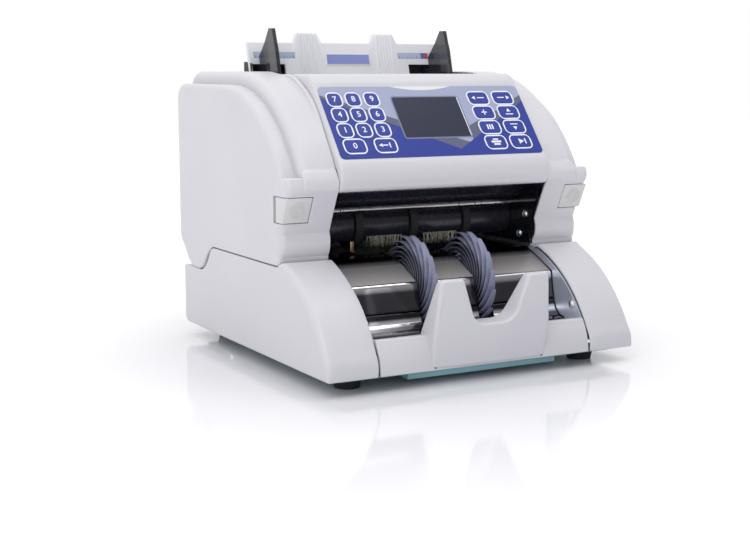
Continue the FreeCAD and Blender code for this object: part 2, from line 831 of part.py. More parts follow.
def hopper_back_plate():
    """Leaning back plate with two ribbed tabs, and slots for the arms of the note guides."""
    plate = back_plate_slab(plate_foot[1], plate_head_z, -99.8, 99.8)
    pieces = [plate]
    rib_pitch = (tab_head_x[1] - tab_head_x[0] - 2.0) / tab_ribs
    for side in (-1, 1):
        pieces.append(hopper_tab(side))
        for rib in range(tab_ribs):
            low, high = sorted(side * (tab_head_x[0] + 2.0 + rib * rib_pitch + step)
                               for step in (0.0, 1.6))
            pieces.append(back_plate_slab(232.0, tab_head_z - 1.0, low, high, -0.9, 0.5))
    pieces.append(back_plate_slab(248.5, 258.4, -22.5, 22.5, -0.8, 0.5))
    plate = joined(pieces)
    slots = []
    for side in (-1, 1):
        low, high = sorted((side * slot_inner, side * slot_outer))
        slots.append(block((low, high), (80.0, 110.0), slot_z))
    return without(plate, *slots)


def hopper_floor():
    """Sloping floor of the hopper, with openings for the feed rollers."""
    floor = bent_sheet([(5.0, 227.0), floor_front, floor_back, (83.0, 200.0)],
                       -2.0, -99.8, 99.8, bend=1.5)
    openings = []
    for x in feed_places:
        openings.append(rod(feed_radius + 1.5, x - 10.0, x + 10.0, feed_y, feed_z))
    ribs = []
    for x in (-75.0, -60.0, -10.0, 10.0, 60.0, 75.0):
        slope = (floor_back[1] - floor_front[1]) / (floor_back[0] - floor_front[0])
        start = (floor_front[0] + 6.0, floor_front[1] + slope * 6.0)
        end = (floor_back[0] - 4.0, floor_back[1] - slope * 4.0)
        ribs.append(across(outline(start, (start[0], start[1] + 0.9), (end[0], end[1] + 0.9), end),
                           x - 1.0, x + 1.0))
    return joined([without(floor, *openings)] + ribs)


def upper_rear_cover():
    """Rear wall and the deck behind the hopper."""
    half = console_half
    shell = across(outline(
        (rear_y, 98.0),
        (rear_y, shoulder_top_z - 15.0),
        (on_circle((rear_y - 15.0, shoulder_top_z - 15.0), 15.0, 45),
         (rear_y - 15.0, shoulder_top_z)),
        (108.0, shoulder_top_z),
        (108.0, shoulder_top_z - wall),
        (rear_y - 15.0, shoulder_top_z - wall),
        (on_circle((rear_y - 15.0, shoulder_top_z - 15.0), 12.0, 45),
         (rear_y - wall, shoulder_top_z - 15.0)),
        (rear_y - wall, 98.0),
    ), -half, half)
    vents = []
    for number in range(16):
        x = -60.0 + number * 8.0
        vents.append(block((x, x + 4.0), (150.0, 160.0), (150.0, 190.0)))
    return without(shell, *vents)


def upper_side_frames():
    """Steel side plates of the upper unit; they turn on the hinge pins."""
    hinge = (hinge_y, hinge_z)
    plate = across(outline(
        (-53.0, 93.0),
        (-57.0, 112.0),
        (-70.0, 146.0),
        crown_point(ear_radius - 2.0, 172.0),
        (on_circle(crown, ear_radius - 2.0, 125), (crown_y, ear_top_z - 2.0)),
        (82.0, ear_top_z - 2.0),
        (82.0, 212.0),
        (146.0, 212.0),
        (146.0, 128.0),
        on_circle(hinge, 19.0, 30),
        (on_circle(hinge, 19.0, -70), on_circle(hinge, 19.0, 190)),
        (92.0, 93.0),
    ), upper_frame_x, upper_frame_x + sheet)
    holes = [
        rod(shaft_radius + running_gap, 95.0, 110.0, hinge_y, hinge_z),
        rod(bush_radius, 95.0, 110.0, ring_y, ring_z),
        rod(bush_radius, 95.0, 110.0, feed_y, feed_z),
    ]
    right = without(plate, *holes)
    return Part.makeCompound([mirrored(right), right])


def throat_guide():
    """Black moulding over the note exit, with slots for the ring wheels."""
    ring = (ring_y, ring_z)
    outer = 18.5
    shell = across(outline(
        (-52.0, 146.5),
        (-42.5, 137.0),
        on_circle(ring, outer, 148),
        (on_circle(ring, outer, 185), on_circle(ring, outer, 222)),
        (ring_y + 4.0, 97.0),
        (52.0, 97.0),
        (52.0, 99.5),
        (ring_y + 4.0, 99.5),
        on_circle(ring, outer - 2.5, 228),
        (on_circle(ring, outer - 2.5, 190), on_circle(ring, outer - 2.5, 140)),
        (-40.0, 139.0),
        (-48.0, 146.5),
    ), -100.4, 100.4)
    cutters = []
    for x in ring_places:
        half = ring_width / 2 + 1.0
        cutters.append(rod(ring_radius + 1.0, x - half, x + half, ring_y, ring_z))
    top = block((-100.4, 100.4), (-51.0, 40.0), (144.0, 146.5))
    return joined([without(shell, *cutters), top])


def antistatic_brushes():
    brushes = []
    for side in (-1, 1):
        low, high = sorted((side * 10.5, side * 45.0))
        brushes.append(block((low, high), (-26.2, -24.2), (93.5, 104.0)))
    return Part.makeCompound(brushes)


def guide_bar():
    """Bright bar across the throat, with two pairs of grooves."""
    radius = 2.7
    y = -37.5
    z = 128.8
    bar = rod(radius, -100.8, 100.8, y, z)
    for x in (-75.7, -60.5, 60.5, 75.7):
        groove = rod(radius + 0.3, x - 0.8, x + 0.8, y, z)
        bar = bar.cut(groove.cut(rod(radius - 0.6, x - 0.8, x + 0.8, y, z)))
    return bar


def roller_set(radius, width, places, y, z):
    shaft = rod(shaft_radius, -upper_frame_x - 5.0, upper_frame_x + 5.0, y, z)
    rollers = []
    for x in places:
        roller = rod(radius, x - width / 2, x + width / 2, y, z)
        rollers.append(roller.cut(rod(shaft_radius, x - width / 2, x + width / 2, y, z)))
    return Part.makeCompound([shaft] + rollers)


def guide_with_rack(left):
    """A note guide: a leaning plate, an arm through the slot and a rack behind the plate."""
    clear = 1.2
    x_range = (-guide_x - guide_thick / 2, -guide_x + guide_thick / 2)
    rack_y_range = (rack_y - 2.0, rack_y + 2.5)
    plate = across(outline(
        (52.0, 229.0),
        (60.5, 262.0),
        (64.0, 270.0),
        (67.5, 280.0),
        (74.0, 280.0),
        (83.0, 268.0),
        lean_point(256.0, -clear),
        lean_point(223.0, -clear),
    ), *x_range)
    arm = block(x_range, (86.0, rack_y_range[1]), (slot_z[0] + 2.0, slot_z[1] - 2.0))
    if left:
        rack_z = (pinion_z + pinion_pitch + 0.7, pinion_z + pinion_pitch + 3.0)
        post_foot = pinion_z + pinion_pitch
    else:
        rack_z = (pinion_z - pinion_pitch - 3.0, pinion_z - pinion_pitch - 0.7)
        post_foot = rack_z[0]
    post = block(x_range, rack_y_range, (post_foot, 245.0))
    rack = block((-guide_x, 16.0), rack_y_range, rack_z)
    guide = joined([plate, arm, post, rack])
    return guide if left else mirrored(guide)


def guide_pinion():
    """Pinion between the two racks, on an axis along Y."""
    gear = Part.makeCylinder(pinion_pitch - 0.4, 4.5, Vec(0, rack_y - 2.0, pinion_z), Vec(0, 1, 0))
    for tooth in range(12):
        angle = math.radians(tooth * 30.0)
        at = Vec(math.cos(angle), 0, math.sin(angle)) * (pinion_pitch - 0.3)
        notch = Part.makeCylinder(0.8, 5.0, Vec(at.x, rack_y - 2.2, pinion_z + at.z), Vec(0, 1, 0))
        gear = gear.cut(notch)
    stud = Part.makeCylinder(2.0, 12.0, Vec(0, rack_y - 4.0, pinion_z), Vec(0, 1, 0))
    return joined([gear, stud])


# ---------------------------------------------------------------- every node

def build_nodes():
    left_lower = lower_side_cover()
    left_upper = upper_side_cover()
    left_latch = latch_button()
    nodes = {
        "base_plate": base_plate(),
        "rubber_feet": rubber_feet(),
        "lower_side_cover_left": left_lower,
        "lower_side_cover_right": mirrored(left_lower),
        "front_cover": front_cover(),
        "rear_cover": rear_cover(),
        "lower_side_frames": lower_side_frames(),
        "stacker_upper_plate": stacker_upper_plate(),
        "stacker_lower_plate": stacker_lower_plate(),
        "drive_motor": drive_motor(),
        "drive_belt": drive_belt(),
        "lower_bearings": bush_pairs(lower_frame_x, ((wheel_y, wheel_z),)),
        "frame_screws": frame_screws(),
        "hinge_pins": hinge_pins(),
        "power_supply": power_supply(),
        "power_inlet": power_inlet(),
        "power_rocker": power_rocker(),
        "motor_pulley": motor_pulley(),
        "stacker_shaft": stacker_shaft(),
        "stacker_wheels": stacker_wheels(),
        "upper_side_cover_left": left_upper,
        "upper_side_cover_right": mirrored(left_upper),
        "console_cover": console_cover(),
        "keypad_overlay": keypad_overlay(),
        "display_window": display_window(),
        "control_board": control_board(),
        "hopper_back_plate": hopper_back_plate(),
        "hopper_floor": hopper_floor(),
        "upper_rear_cover": upper_rear_cover(),
        "throat_guide": throat_guide(),
        "antistatic_brushes": antistatic_brushes(),
        "guide_bar": guide_bar(),
        "upper_side_frames": upper_side_frames(),
        "upper_bearings": bush_pairs(upper_frame_x, ((ring_y, ring_z), (feed_y, feed_z))),
        "feed_roller_shaft": roller_set(feed_radius, 16.0, feed_places, feed_y, feed_z),
        "ring_wheel_shaft": roller_set(ring_radius, ring_width, ring_places, ring_y, ring_z),
        "guide_left": guide_with_rack(True),
        "guide_right": guide_with_rack(False),
        "guide_pinion": guide_pinion(),
        "latch_button_left": left_latch,
        "latch_button_right": mirrored(left_latch),
    }
    for name, x, down, size in key_layout():
        nodes[name] = key_cap(x, down, size)
    return nodes


os.makedirs("parts", exist_ok=True)
for node, shape in build_nodes().items():
    shape.exportStep(f"parts/{node}.step")
    state = "valid" if shape.isValid() else "INVALID"
    print(node, len(shape.Solids), "solids", round(shape.Volume, 1), "mm3", state)
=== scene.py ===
import math

import bmesh
import bpy
from mathutils import Matrix, Vector


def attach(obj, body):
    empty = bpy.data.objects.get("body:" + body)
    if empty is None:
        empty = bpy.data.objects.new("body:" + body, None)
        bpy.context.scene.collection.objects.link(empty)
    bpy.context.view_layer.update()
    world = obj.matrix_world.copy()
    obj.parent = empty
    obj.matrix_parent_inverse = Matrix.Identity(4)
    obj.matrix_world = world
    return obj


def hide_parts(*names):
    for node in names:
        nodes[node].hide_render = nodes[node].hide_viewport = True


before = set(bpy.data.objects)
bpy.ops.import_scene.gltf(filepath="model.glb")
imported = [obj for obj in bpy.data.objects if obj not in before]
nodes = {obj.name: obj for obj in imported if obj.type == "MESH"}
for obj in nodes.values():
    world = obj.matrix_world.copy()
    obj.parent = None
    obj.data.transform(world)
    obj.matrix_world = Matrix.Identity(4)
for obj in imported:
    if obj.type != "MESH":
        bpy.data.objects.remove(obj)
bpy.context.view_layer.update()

mm = 0.001
quarter = math.pi / 2


# paths and rings in the Y-Z plane, in millimetres

def arcThrough(start, middle, end, count):
    # the points after start on the circle through three points
    (ax, ay), (bx, by), (cx, cy) = start, middle, end
    scale = 2 * (ax * (by - cy) + bx * (cy - ay) + cx * (ay - by))
    a, b, c = ax * ax + ay * ay, bx * bx + by * by, cx * cx + cy * cy
    ux = (a * (by - cy) + b * (cy - ay) + c * (ay - by)) / scale
    uy = (a * (cx - bx) + b * (ax - cx) + c * (bx - ax)) / scale
    first = math.atan2(ay - uy, ax - ux)
    sweepTo = [(math.atan2(y - uy, x - ux) - first) % math.tau for x, y in (middle, end)]
    sweep = sweepTo[1] if sweepTo[0] < sweepTo[1] else sweepTo[1] - math.tau
    radius = math.hypot(ax - ux, ay - uy)
    turns = [first + sweep * (i + 1) / count for i in range(count)]
    return [(ux + radius * math.cos(turn), uy + radius * math.sin(turn)) for turn in turns]


def trace(start, steps):
    # a step is (end, count, edge) for a line or (middle, end, count, edge) for an arc
    points, edges = [start], [steps[0][-1]]
    for step in steps:
        count, edge = step[-2:]
        here = points[-1]
        if len(step) == 3:
            end = step[0]
            more = [(here[0] + (end[0] - here[0]) * (i + 1) / count,
                     here[1] + (end[1] - here[1]) * (i + 1) / count) for i in range(count)]
        else:
            more = arcThrough(here, step[0], step[1], count)
        points += more
        edges += [edge] * count
    if math.dist(points[0], points[-1]) < 1e-6:
        points.pop()
        edges.pop()
    return [Vector(point) for point in points], edges


def evened(values, reach, closed=True):
    # a running mean, so that an edge grows and shrinks gently along its path
    count = len(values)
    result = []
    for i in range(count):
        near = []
        for j in range(i - reach, i + reach + 1):
            if closed or 0 <= j < count:
                near.append(values[j % count])
        result.append(sum(near) / len(near))
    return result


def outwards(points, closed=True):
    # unit normals that point out of a path walked clockwise, longer at corners
    count = len(points)
    normals = []
    for i, point in enumerate(points):
        before = points[i - 1] if closed or i else point
        after = points[(i + 1) % count] if closed or i < count - 1 else point
        sides = []
        for a, b in ((before, point), (point, after)):
            run = b - a
            if run.length > 1e-6:
                run.normalize()
                sides.append(Vector((-run.y, run.x)))
        normal = sum(sides, Vector((0, 0))).normalized()
        normals.append(normal / max(normal.dot(sides[0]), 0.7))
    return normals


def inset(points, normals, depths):
    # the path moved inwards; stretches that would turn back on themselves shrink to a point
    moved = [p - n * d for p, n, d in zip(points, normals, depths)]
    count = len(points)
    for attempt in range(6):
        turned = [(moved[(i + 1) % count] - moved[i]).dot(points[(i + 1) % count] - points[i]) < 0
                  for i in range(count)]
        if not any(turned):
            break
        i = 0
        while i < count:
            if turned[i]:
                last = i
                while last + 1 < count and turned[last + 1]:
                    last += 1
                spots = [(i + k) % count for k in range(last - i + 2)]
                middle = sum((moved[k] for k in spots), Vector((0, 0))) / len(spots)
                for k in spots:
                    moved[k] = middle.copy()
                i = last
            i += 1
    return moved


def areaOf(points):
    following = points[1:] + points[:1]
    return sum(a.x * b.y - b.x * a.y for a, b in zip(points, following)) / 2


def skin(rows, closed=True, skip=()):
    # joins rows of equally many 3-D points with quads; skip holds (row, place) pairs left open
    bm = bmesh.new()
    grid = [[bm.verts.new(Vector(point) * mm) for point in row] for row in rows]
    count = len(rows[0])
    for r in range(len(rows) - 1):
        for i in range(count if closed else count - 1):
            if (r, i) not in skip:
                j = (i + 1) % count
                bm.faces.new((grid[r][i], grid[r][j], grid[r + 1][j], grid[r + 1][i]))
    return bm, grid


def bridge(bm, rings, closed=True):
    # joins each ring of corners to the next with quads
    for a, b in zip(rings, rings[1:]):
        for i in range(len(a) if closed else len(a) - 1):
            j = (i + 1) % len(a)
            bm.faces.new((a[i], a[j], b[j], b[i]))


def slab(bm, low, high):
    # a closed piece between two matching outlines, given in metres
    rings = [[bm.verts.new(point) for point in outline] for outline in (low, high)]
    for ring in rings:
        bm.faces.new(ring)
    bridge(bm, rings)


def cap(bm, ring, rim):
    # a flat end with a narrow flat rim, so that the rounded edge beside it shades cleanly
    inner = [bm.verts.new(Vector(point) * mm) for point in rim]
    bridge(bm, [ring, inner])
    bmesh.ops.remove_doubles(bm, verts=inner, dist=2e-6)
    inner = [vert for vert in inner if vert.is_valid]
    bm.faces.new(inner)


def finishMesh(bm, name, turnOut=True):
    bmesh.ops.remove_doubles(bm, verts=bm.verts, dist=2e-6)
    bmesh.ops.dissolve_degenerate(bm, edges=bm.edges, dist=1e-6)
    if turnOut:
        bmesh.ops.recalc_face_normals(bm, faces=bm.faces)
    mesh = bpy.data.meshes.new(name)
    bm.to_mesh(mesh)
    bm.free()
    return mesh


def place(mesh, name):
    piece = bpy.data.objects.new(name, mesh)
    bpy.context.scene.collection.objects.link(piece)
    return piece


def settle(piece, sharp=32):
    # turns live modifiers into plain mesh and shades it smooth between its sharp edges
    depsgraph = bpy.context.evaluated_depsgraph_get()
    mesh = bpy.data.meshes.new_from_object(piece.evaluated_get(depsgraph), depsgraph=depsgraph)
    piece.modifiers.clear()
    piece.data = mesh
    mesh.polygons.foreach_set("use_smooth", [True] * len(mesh.polygons))
    mesh.set_sharp_from_angle(angle=math.radians(sharp))
    return piece


def add(piece, kind, **settings):
    modifier = piece.modifiers.new(kind.lower(), kind)
    for key, value in settings.items():
        setattr(modifier, key, value)
    return modifier


def drawn(fill, name, sharp=32):
    # a finished mesh object from a function that fills an empty one
    bm = bmesh.new()
    fill(bm)
    return settle(place(finishMesh(bm, name), name), sharp)


def finish(piece, body, material, stands=()):
    piece.data.materials.clear()
    piece.data.materials.append(material)
    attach(piece, body)
    if stands:
        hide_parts(*stands)
    return piece


def mirroredMesh(mesh, name):
    bm = bmesh.new()
    bm.from_mesh(mesh)
    bmesh.ops.scale(bm, vec=(-1, 1, 1), verts=bm.verts)
    bmesh.ops.reverse_faces(bm, faces=bm.faces)
    result = bpy.data.meshes.new(name)
    bm.to_mesh(result)
    bm.free()
    return result


def softened(node, name, width, segments=2, sharp=32):
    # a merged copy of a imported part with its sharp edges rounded
    bm = bmesh.new()
    bm.from_mesh(nodes[node].data)
    bmesh.ops.remove_doubles(bm, verts=bm.verts, dist=2e-6)
    bmesh.ops.dissolve_limit(bm, angle_limit=math.radians(0.5), verts=bm.verts, edges=bm.edges)
    mesh = bpy.data.meshes.new(name)
    bm.to_mesh(mesh)
    bm.free()
    piece = place(mesh, name)
    add(piece, "BEVEL", width=width * mm, segments=segments, limit_method="ANGLE",
        angle_limit=math.radians(sharp))
    return settle(piece, sharp)


# shader maths

class Wire:
    # one output of a shader node, with the usual signs of arithmetic
    def __init__(self, tree, socket):
        self.tree = tree
        self.socket = socket

    def math(self, operation, *others, clamp=False):
        node = self.tree.nodes.new("ShaderNodeMath")
        node.operation = operation
        node.use_clamp = clamp
        for slotIn, value in zip(node.inputs, (self,) + others):
            plug(self.tree, slotIn, value)
        return Wire(self.tree, node.outputs[0])

    def __add__(self, other):
        return self.math("ADD", other)

    def __sub__(self, other):
        return self.math("SUBTRACT", other)

    def __mul__(self, other):
        return self.math("MULTIPLY", other)

    def __truediv__(self, other):
        return self.math("DIVIDE", other)

    def __rsub__(self, other):
        return self.math("MULTIPLY", -1.0).math("ADD", other)

    __radd__ = __add__
    __rmul__ = __mul__

    def step(self, low, high):
        # 0 below low, 1 above high, straight between
        return ((self - low) / (high - low)).math("ADD", 0.0, clamp=True)


def plug(tree, socket, value):
    if isinstance(value, Wire):
        tree.links.new(value.socket, socket)
    elif isinstance(value, tuple) and len(value) == 3 and socket.type == "RGBA":
        socket.default_value = (*value, 1.0)
    else:
        socket.default_value = value


class Finish:
    # a material in the making
    def __init__(self, name):
        self.material = bpy.data.materials.new(name)
        self.material.use_nodes = True
        self.tree = self.material.node_tree
        self.shader = self.tree.nodes["Principled BSDF"]
        self.place = self.node("ShaderNodeTexCoord", out="Object")

    def node(self, kind, settings={}, out=0, **values):
        node = self.tree.nodes.new(kind)
        for key, value in settings.items():
            setattr(node, key, value)
        for key, value in values.items():
            plug(self.tree, node.inputs[key.replace("_", " ")], value)
        return Wire(self.tree, node.outputs[out])

    def axis(self, name):
        split = self.tree.nodes.new("ShaderNodeSeparateXYZ")
        plug(self.tree, split.inputs[0], self.place)
        return Wire(self.tree, split.outputs[name])

    def noise(self, scale, detail=3.0, stretch=(1, 1, 1)):
        where = self.node("ShaderNodeMapping", Vector=self.place, Scale=stretch)
        return self.node("ShaderNodeTexNoise", {"noise_dimensions": "3D"}, "Fac", Vector=where,
                         Scale=scale, Detail=detail)

    def blend(self, factor, first, second):
        mixer = self.tree.nodes.new("ShaderNodeMix")
        mixer.data_type = "RGBA"
        plug(self.tree, mixer.inputs[0], factor)
        plug(self.tree, mixer.inputs[6], first)
        plug(self.tree, mixer.inputs[7], second)
        return Wire(self.tree, mixer.outputs[2])

    def bump(self, height, distance, strength=1.0):
        return self.node("ShaderNodeBump", Height=height, Distance=distance * mm,
                         Strength=strength)

    def done(self, **values):
        for key, value in values.items():
            plug(self.tree, self.shader.inputs[key.replace("_", " ")], value)
        return self.material


def tone(red, green, blue):
    # a screen colour, 0 to 255, as the linear light that shaders use
    linear = []
    for part in (red, green, blue):
        part /= 255
        linear.append(part / 12.92 if part <= 0.04045 else ((part + 0.055) / 1.055) ** 2.4)
    return tuple(linear)


print("finishes")


def mouldedPlastic(name, colour, shade, grain=0.02, roughness=0.42, coat=0.0):
    # textured moulding: fine spark-erosion grain over a very slight change of tone
    f = Finish(name)
    drift = f.noise(9.0, 2.0)
    fine = f.noise(2600.0, 2.0)
    scuff = f.noise(140.0, 4.0).step(0.52, 0.75)
    return f.done(Base_Color=f.blend(drift.step(0.3, 0.7), colour, shade),
                  Roughness=roughness + scuff * 0.06 + (fine - 0.5) * 0.08,
                  Normal=f.bump(fine, grain, 0.6), Coat_Weight=coat)


def rolledSteel(name, colour, dark, roughness, alongX=True, metal=1.0):
    # rolled sheet: fine lines along the roll and faint cloudiness
    f = Finish(name)
    stretch = (0.02, 1, 1) if alongX else (1, 0.02, 1)
    lines = f.noise(1800.0, 3.0, stretch)
    cloud = f.noise(18.0, 3.0)
    return f.done(Metallic=metal, Base_Color=f.blend(cloud.step(0.3, 0.7), colour, dark),
                  Roughness=roughness + cloud * 0.05 + (lines - 0.5) * 0.08,
                  Normal=f.bump(lines, 0.006, 0.5))


def turnedMetal(name, colour, dark, roughness):
    # lathe marks round an X axis
    f = Finish(name)
    marks = f.noise(2400.0, 2.0, (1, 0.05, 0.05))
    spots = f.noise(120.0, 4.0).step(0.5, 0.8)
    return f.done(Metallic=1.0, Base_Color=f.blend(spots, colour, dark),
                  Roughness=roughness + marks * 0.1, Normal=f.bump(marks, 0.004, 0.5))


def softRubber(name, colour, dust):
    f = Finish(name)
    speck = f.noise(900.0, 4.0)
    wipe = f.noise(60.0, 3.0).step(0.45, 0.75)
    return f.done(Base_Color=f.blend(wipe * 0.6, colour, dust), Roughness=0.62 + speck * 0.2,
                  Normal=f.bump(speck, 0.03, 0.5))


coverPlastic = mouldedPlastic("coverPlastic", tone(209, 208, 213), tone(204, 203, 209), 0.02, 0.36)
buttonPlastic = mouldedPlastic("buttonPlastic", tone(212, 210, 210), tone(206, 205, 206), 0.03, 0.42)
hopperPlastic = mouldedPlastic("hopperPlastic", tone(226, 226, 230), tone(218, 218, 224), 0.01, 0.34)
blackMoulding = mouldedPlastic("blackMoulding", tone(34, 35, 46), tone(26, 27, 37), 0.008, 0.26, 0.15)
inletPlastic = mouldedPlastic("inletPlastic", tone(26, 26, 28), tone(20, 20, 22), 0.03, 0.45)
acetal = mouldedPlastic("greyAcetal", tone(150, 152, 156), tone(138, 140, 146), 0.01, 0.35)
frameSteel = rolledSteel("frameSteel", (0.74, 0.79, 0.92), (0.58, 0.63, 0.77), 0.3, False, 0.55)
zincSteel = rolledSteel("zincSteel", (0.5, 0.53, 0.54), (0.4, 0.44, 0.46), 0.34, False)
# the base plate's teal, made lighter than its own as painted light against the shade under the machine
basePaint = mouldedPlastic("basePaint", tone(142, 188, 196), tone(126, 168, 178), 0.03, 0.4)
motorSteel = turnedMetal("motorSteel", (0.42, 0.42, 0.44), (0.3, 0.3, 0.32), 0.32)
screwSteel = turnedMetal("screwSteel", (0.7, 0.7, 0.72), (0.5, 0.5, 0.52), 0.2)
bushBronze = turnedMetal("bushBronze", (0.55, 0.36, 0.16), (0.42, 0.26, 0.11), 0.34)
barChrome = turnedMetal("barChrome", (0.5, 0.48, 0.48), (0.42, 0.4, 0.41), 0.1)
rollerRubber = softRubber("rollerRubber", tone(30, 30, 33), tone(52, 52, 56))
bristle = softRubber("brushBristle", tone(216, 212, 186), tone(180, 176, 152))
whitePrint = mouldedPlastic("whitePrint", tone(236, 237, 246), tone(230, 231, 242), 0.004, 0.4)
lilacPrint = mouldedPlastic("lilacPrint", tone(118, 122, 150), tone(110, 114, 142), 0.004, 0.4)
scaleBlue = mouldedPlastic("scaleBlue", tone(86, 100, 160), tone(78, 92, 152), 0.004, 0.4)
scaleRed = mouldedPlastic("scaleRed", tone(176, 72, 78), tone(166, 62, 70), 0.004, 0.4)
scaleInk = mouldedPlastic("scaleInk", tone(70, 72, 84), tone(58, 60, 72), 0.004, 0.4)
badgeFilm = mouldedPlastic("badgeFilm", tone(140, 150, 200), tone(128, 138, 192), 0.004, 0.35)
scaleFilm = mouldedPlastic("scaleFilm", tone(176, 186, 208), tone(166, 176, 200), 0.004, 0.35)
brassContact = turnedMetal("brassContact", (0.6, 0.45, 0.25), (0.5, 0.36, 0.18), 0.3)


def paintedSteel():
    # gloss black paint with orange peel
    f = Finish("blackPaint")
    peel = f.noise(420.0, 2.0)
    dust = f.noise(2200.0, 3.0).step(0.62, 0.8)
    return f.done(Base_Color=f.blend(dust * 0.3, tone(20, 22, 30), tone(66, 70, 84)),
                  Roughness=0.12 + dust * 0.3, Normal=f.bump(peel, 0.02, 0.4), Coat_Weight=0.4)


def smokedPlastic():
    f = Finish("smokedPlastic")
    cloud = f.noise(40.0, 3.0)
    scratch = f.noise(900.0, 3.0, (0.1, 1, 1)).step(0.6, 0.8)
    return f.done(Base_Color=f.blend(cloud, tone(40, 41, 46), tone(52, 53, 58)),
                  Roughness=0.12 + scratch * 0.15, Alpha=0.9 - cloud * 0.12, Coat_Weight=0.3)


panelSet = {"topY": -34.9, "topZ": 229.9, "tilt": 51.4}
tilt = math.radians(panelSet["tilt"])
panelDown = Vector((0, -math.cos(tilt), -math.sin(tilt)))
panelOut = Vector((0, -math.sin(tilt), math.cos(tilt)))


def onPanel(x, down, rise):
    # a point of the control panel, millimetres across, down the slope and above it
    return Vector((x, panelSet["topY"], panelSet["topZ"])) + panelDown * down + panelOut * rise


def printedFilm():
    # the panel's artwork: a pale upper field, a dark chevron band and a blue lower field
    art = {"pale": tone(156, 163, 190), "band": tone(90, 95, 118), "blue": tone(38, 56, 144),
           "housing": tone(222, 221, 222), "soft": 0.35}
    f = Finish("keypadFilm")
    soft = art["soft"]
    x = f.axis("X") * 1000
    down = (f.axis("Y") * 1000 - panelSet["topY"]) * panelDown.y \
        + (f.axis("Z") * 1000 - panelSet["topZ"]) * panelDown.z

    def slant(x0, d0, x1, d1):
        # how far a place lies below the line through two points
        return down - (x - x0) * ((d1 - d0) / (x1 - x0)) - d0

    leftBand = slant(-98.0, 8.5, -33.0, 34.5).step(-soft, soft)
    leftBlue = slant(-98.0, 11.5, 16.7, 65.5).step(-soft, soft)
    rightBand = slant(32.0, 45.0, 68.0, 26.0).math("MAXIMUM", slant(68.0, 26.0, 97.0, 12.5))
    rightBlue = slant(16.7, 65.5, 96.0, 17.5).step(-soft, soft)
    apex = x.step(16.6, 16.8)
    isLeft = x.step(31.9, 32.1)
    band = leftBand * (1 - isLeft) + rightBand.step(-soft, soft) * isLeft
    base = f.blend(band, art["pale"], art["band"])
    blue = leftBlue * (1 - apex) + rightBlue * apex
    base = f.blend(blue, base, art["blue"])
    sag = x * x * (4.6 / 1024) + down      # the housing dips into the film's upper edge
    base = f.blend(sag.step(4.2, 4.6), art["housing"], base)
    grainy = f.noise(3000.0, 2.0)
    return f.done(Base_Color=base, Roughness=0.36 + grainy * 0.08, Specular_IOR_Level=0.3,
                  Normal=f.bump(grainy, 0.006, 0.5))


def keyFilm():
    f = Finish("keyFilm")
    grainy = f.noise(3000.0, 2.0)
    cloud = f.noise(60.0, 2.0)
    return f.done(Base_Color=f.blend(cloud, tone(38, 56, 144), tone(44, 62, 150)),
                  Roughness=0.36 + grainy * 0.08, Specular_IOR_Level=0.3,
                  Normal=f.bump(grainy, 0.006, 0.5))


def displayGlass():
    f = Finish("displayGlass")
    depth = f.noise(30.0, 2.0)
    grain = f.noise(2500.0, 2.0)
    return f.done(Base_Color=f.blend(depth, tone(34, 38, 64), tone(27, 31, 54)),
                  Roughness=0.34 + grain * 0.06, Specular_IOR_Level=0.3)


def boardFinish():
    f = Finish("circuitBoard")
    tracks = f.node("ShaderNodeTexVoronoi", {"feature": "DISTANCE_TO_EDGE"}, "Distance",
                    Vector=f.place, Scale=160.0)
    return f.done(Base_Color=f.blend(tracks.step(0.04, 0.08), tone(38, 96, 62), tone(24, 66, 44)),
                  Roughness=0.4 + tracks * 0.3, Normal=f.bump(tracks.step(0.04, 0.1), 0.03, 0.5))


plates = {"slopeFoot": -90.0, "slopeHead": -68.0, "headBendY": -92.3, "footBendZ": 42.6,
          "toeZ": (44.4, 52.5), "toeY": -94.5}


def plateSteel():
    # the stacker's plates: dark mirror whose dark base colour is a painted dark reflection, a satin
    # slope under the throat with a painted sheen, painted highlights on the bends and a band of painted
    # shade on the lower plate
    f = Finish("plateSteel")
    footY, headY = plates["slopeFoot"], plates["slopeHead"]
    shadeBandLow, shadeBandHigh = plates["toeZ"]
    y = f.axis("Y") * 1000
    z = f.axis("Z") * 1000
    lines = f.noise(1800.0, 3.0, (0.02, 1, 1))
    cloud = f.noise(18.0, 3.0)
    satin = y.step(footY - 1.0, footY) * (1 - y.step(headY, headY + 8.0))
    # painted highlights: masks along the two bends, where the base colour turns near-white
    headBend = (1 - (y - plates["headBendY"]).math("ABSOLUTE").step(0.6, 1.7)) * z.step(66.0, 68.0)
    footBend = 1 - (z - plates["footBendZ"]).math("ABSOLUTE").step(0.9, 3.2)
    bright = headBend.math("MAXIMUM", footBend)
    # painted dark reflection: the mirror parts get a dark base colour standing in for the dark
    # surroundings they reflect
    dark = f.blend(cloud.step(0.3, 0.7), (0.13, 0.125, 0.135), (0.1, 0.1, 0.11))
    # painted sheen on the satin slope: lighter towards the bend, darker towards the throat
    paintedSheen = f.blend(y.step(footY, headY - 2.0), (0.46, 0.435, 0.43), (0.25, 0.235, 0.235))
    base = f.blend(satin, dark, paintedSheen)
    # painted shade: a dark band on the upper part of the lower plate, where it meets the upper plate
    paintedShadeBand = z.step(shadeBandLow, shadeBandLow + 0.8) * (1 - z.step(shadeBandHigh - 1.5, shadeBandHigh))
    paintedShadeBand = paintedShadeBand * (1 - y.step(plates["toeY"] - 1.0, plates["toeY"]))
    base = f.blend(paintedShadeBand, base, (0.05, 0.05, 0.055))
    return f.done(Metallic=1 - satin * 0.75, Base_Color=f.blend(bright, base, (0.93, 0.92, 0.94)),
                  Roughness=0.08 + cloud * 0.04 + (lines - 0.5) * 0.06 + satin * 0.2,
                  Normal=f.bump(lines, 0.004, 0.4))


blackPaint = paintedSteel()
plateFinish = plateSteel()
smoked = smokedPlastic()
filmPrint = printedFilm()
keyBlue = keyFilm()
glass = displayGlass()
board = boardFinish()

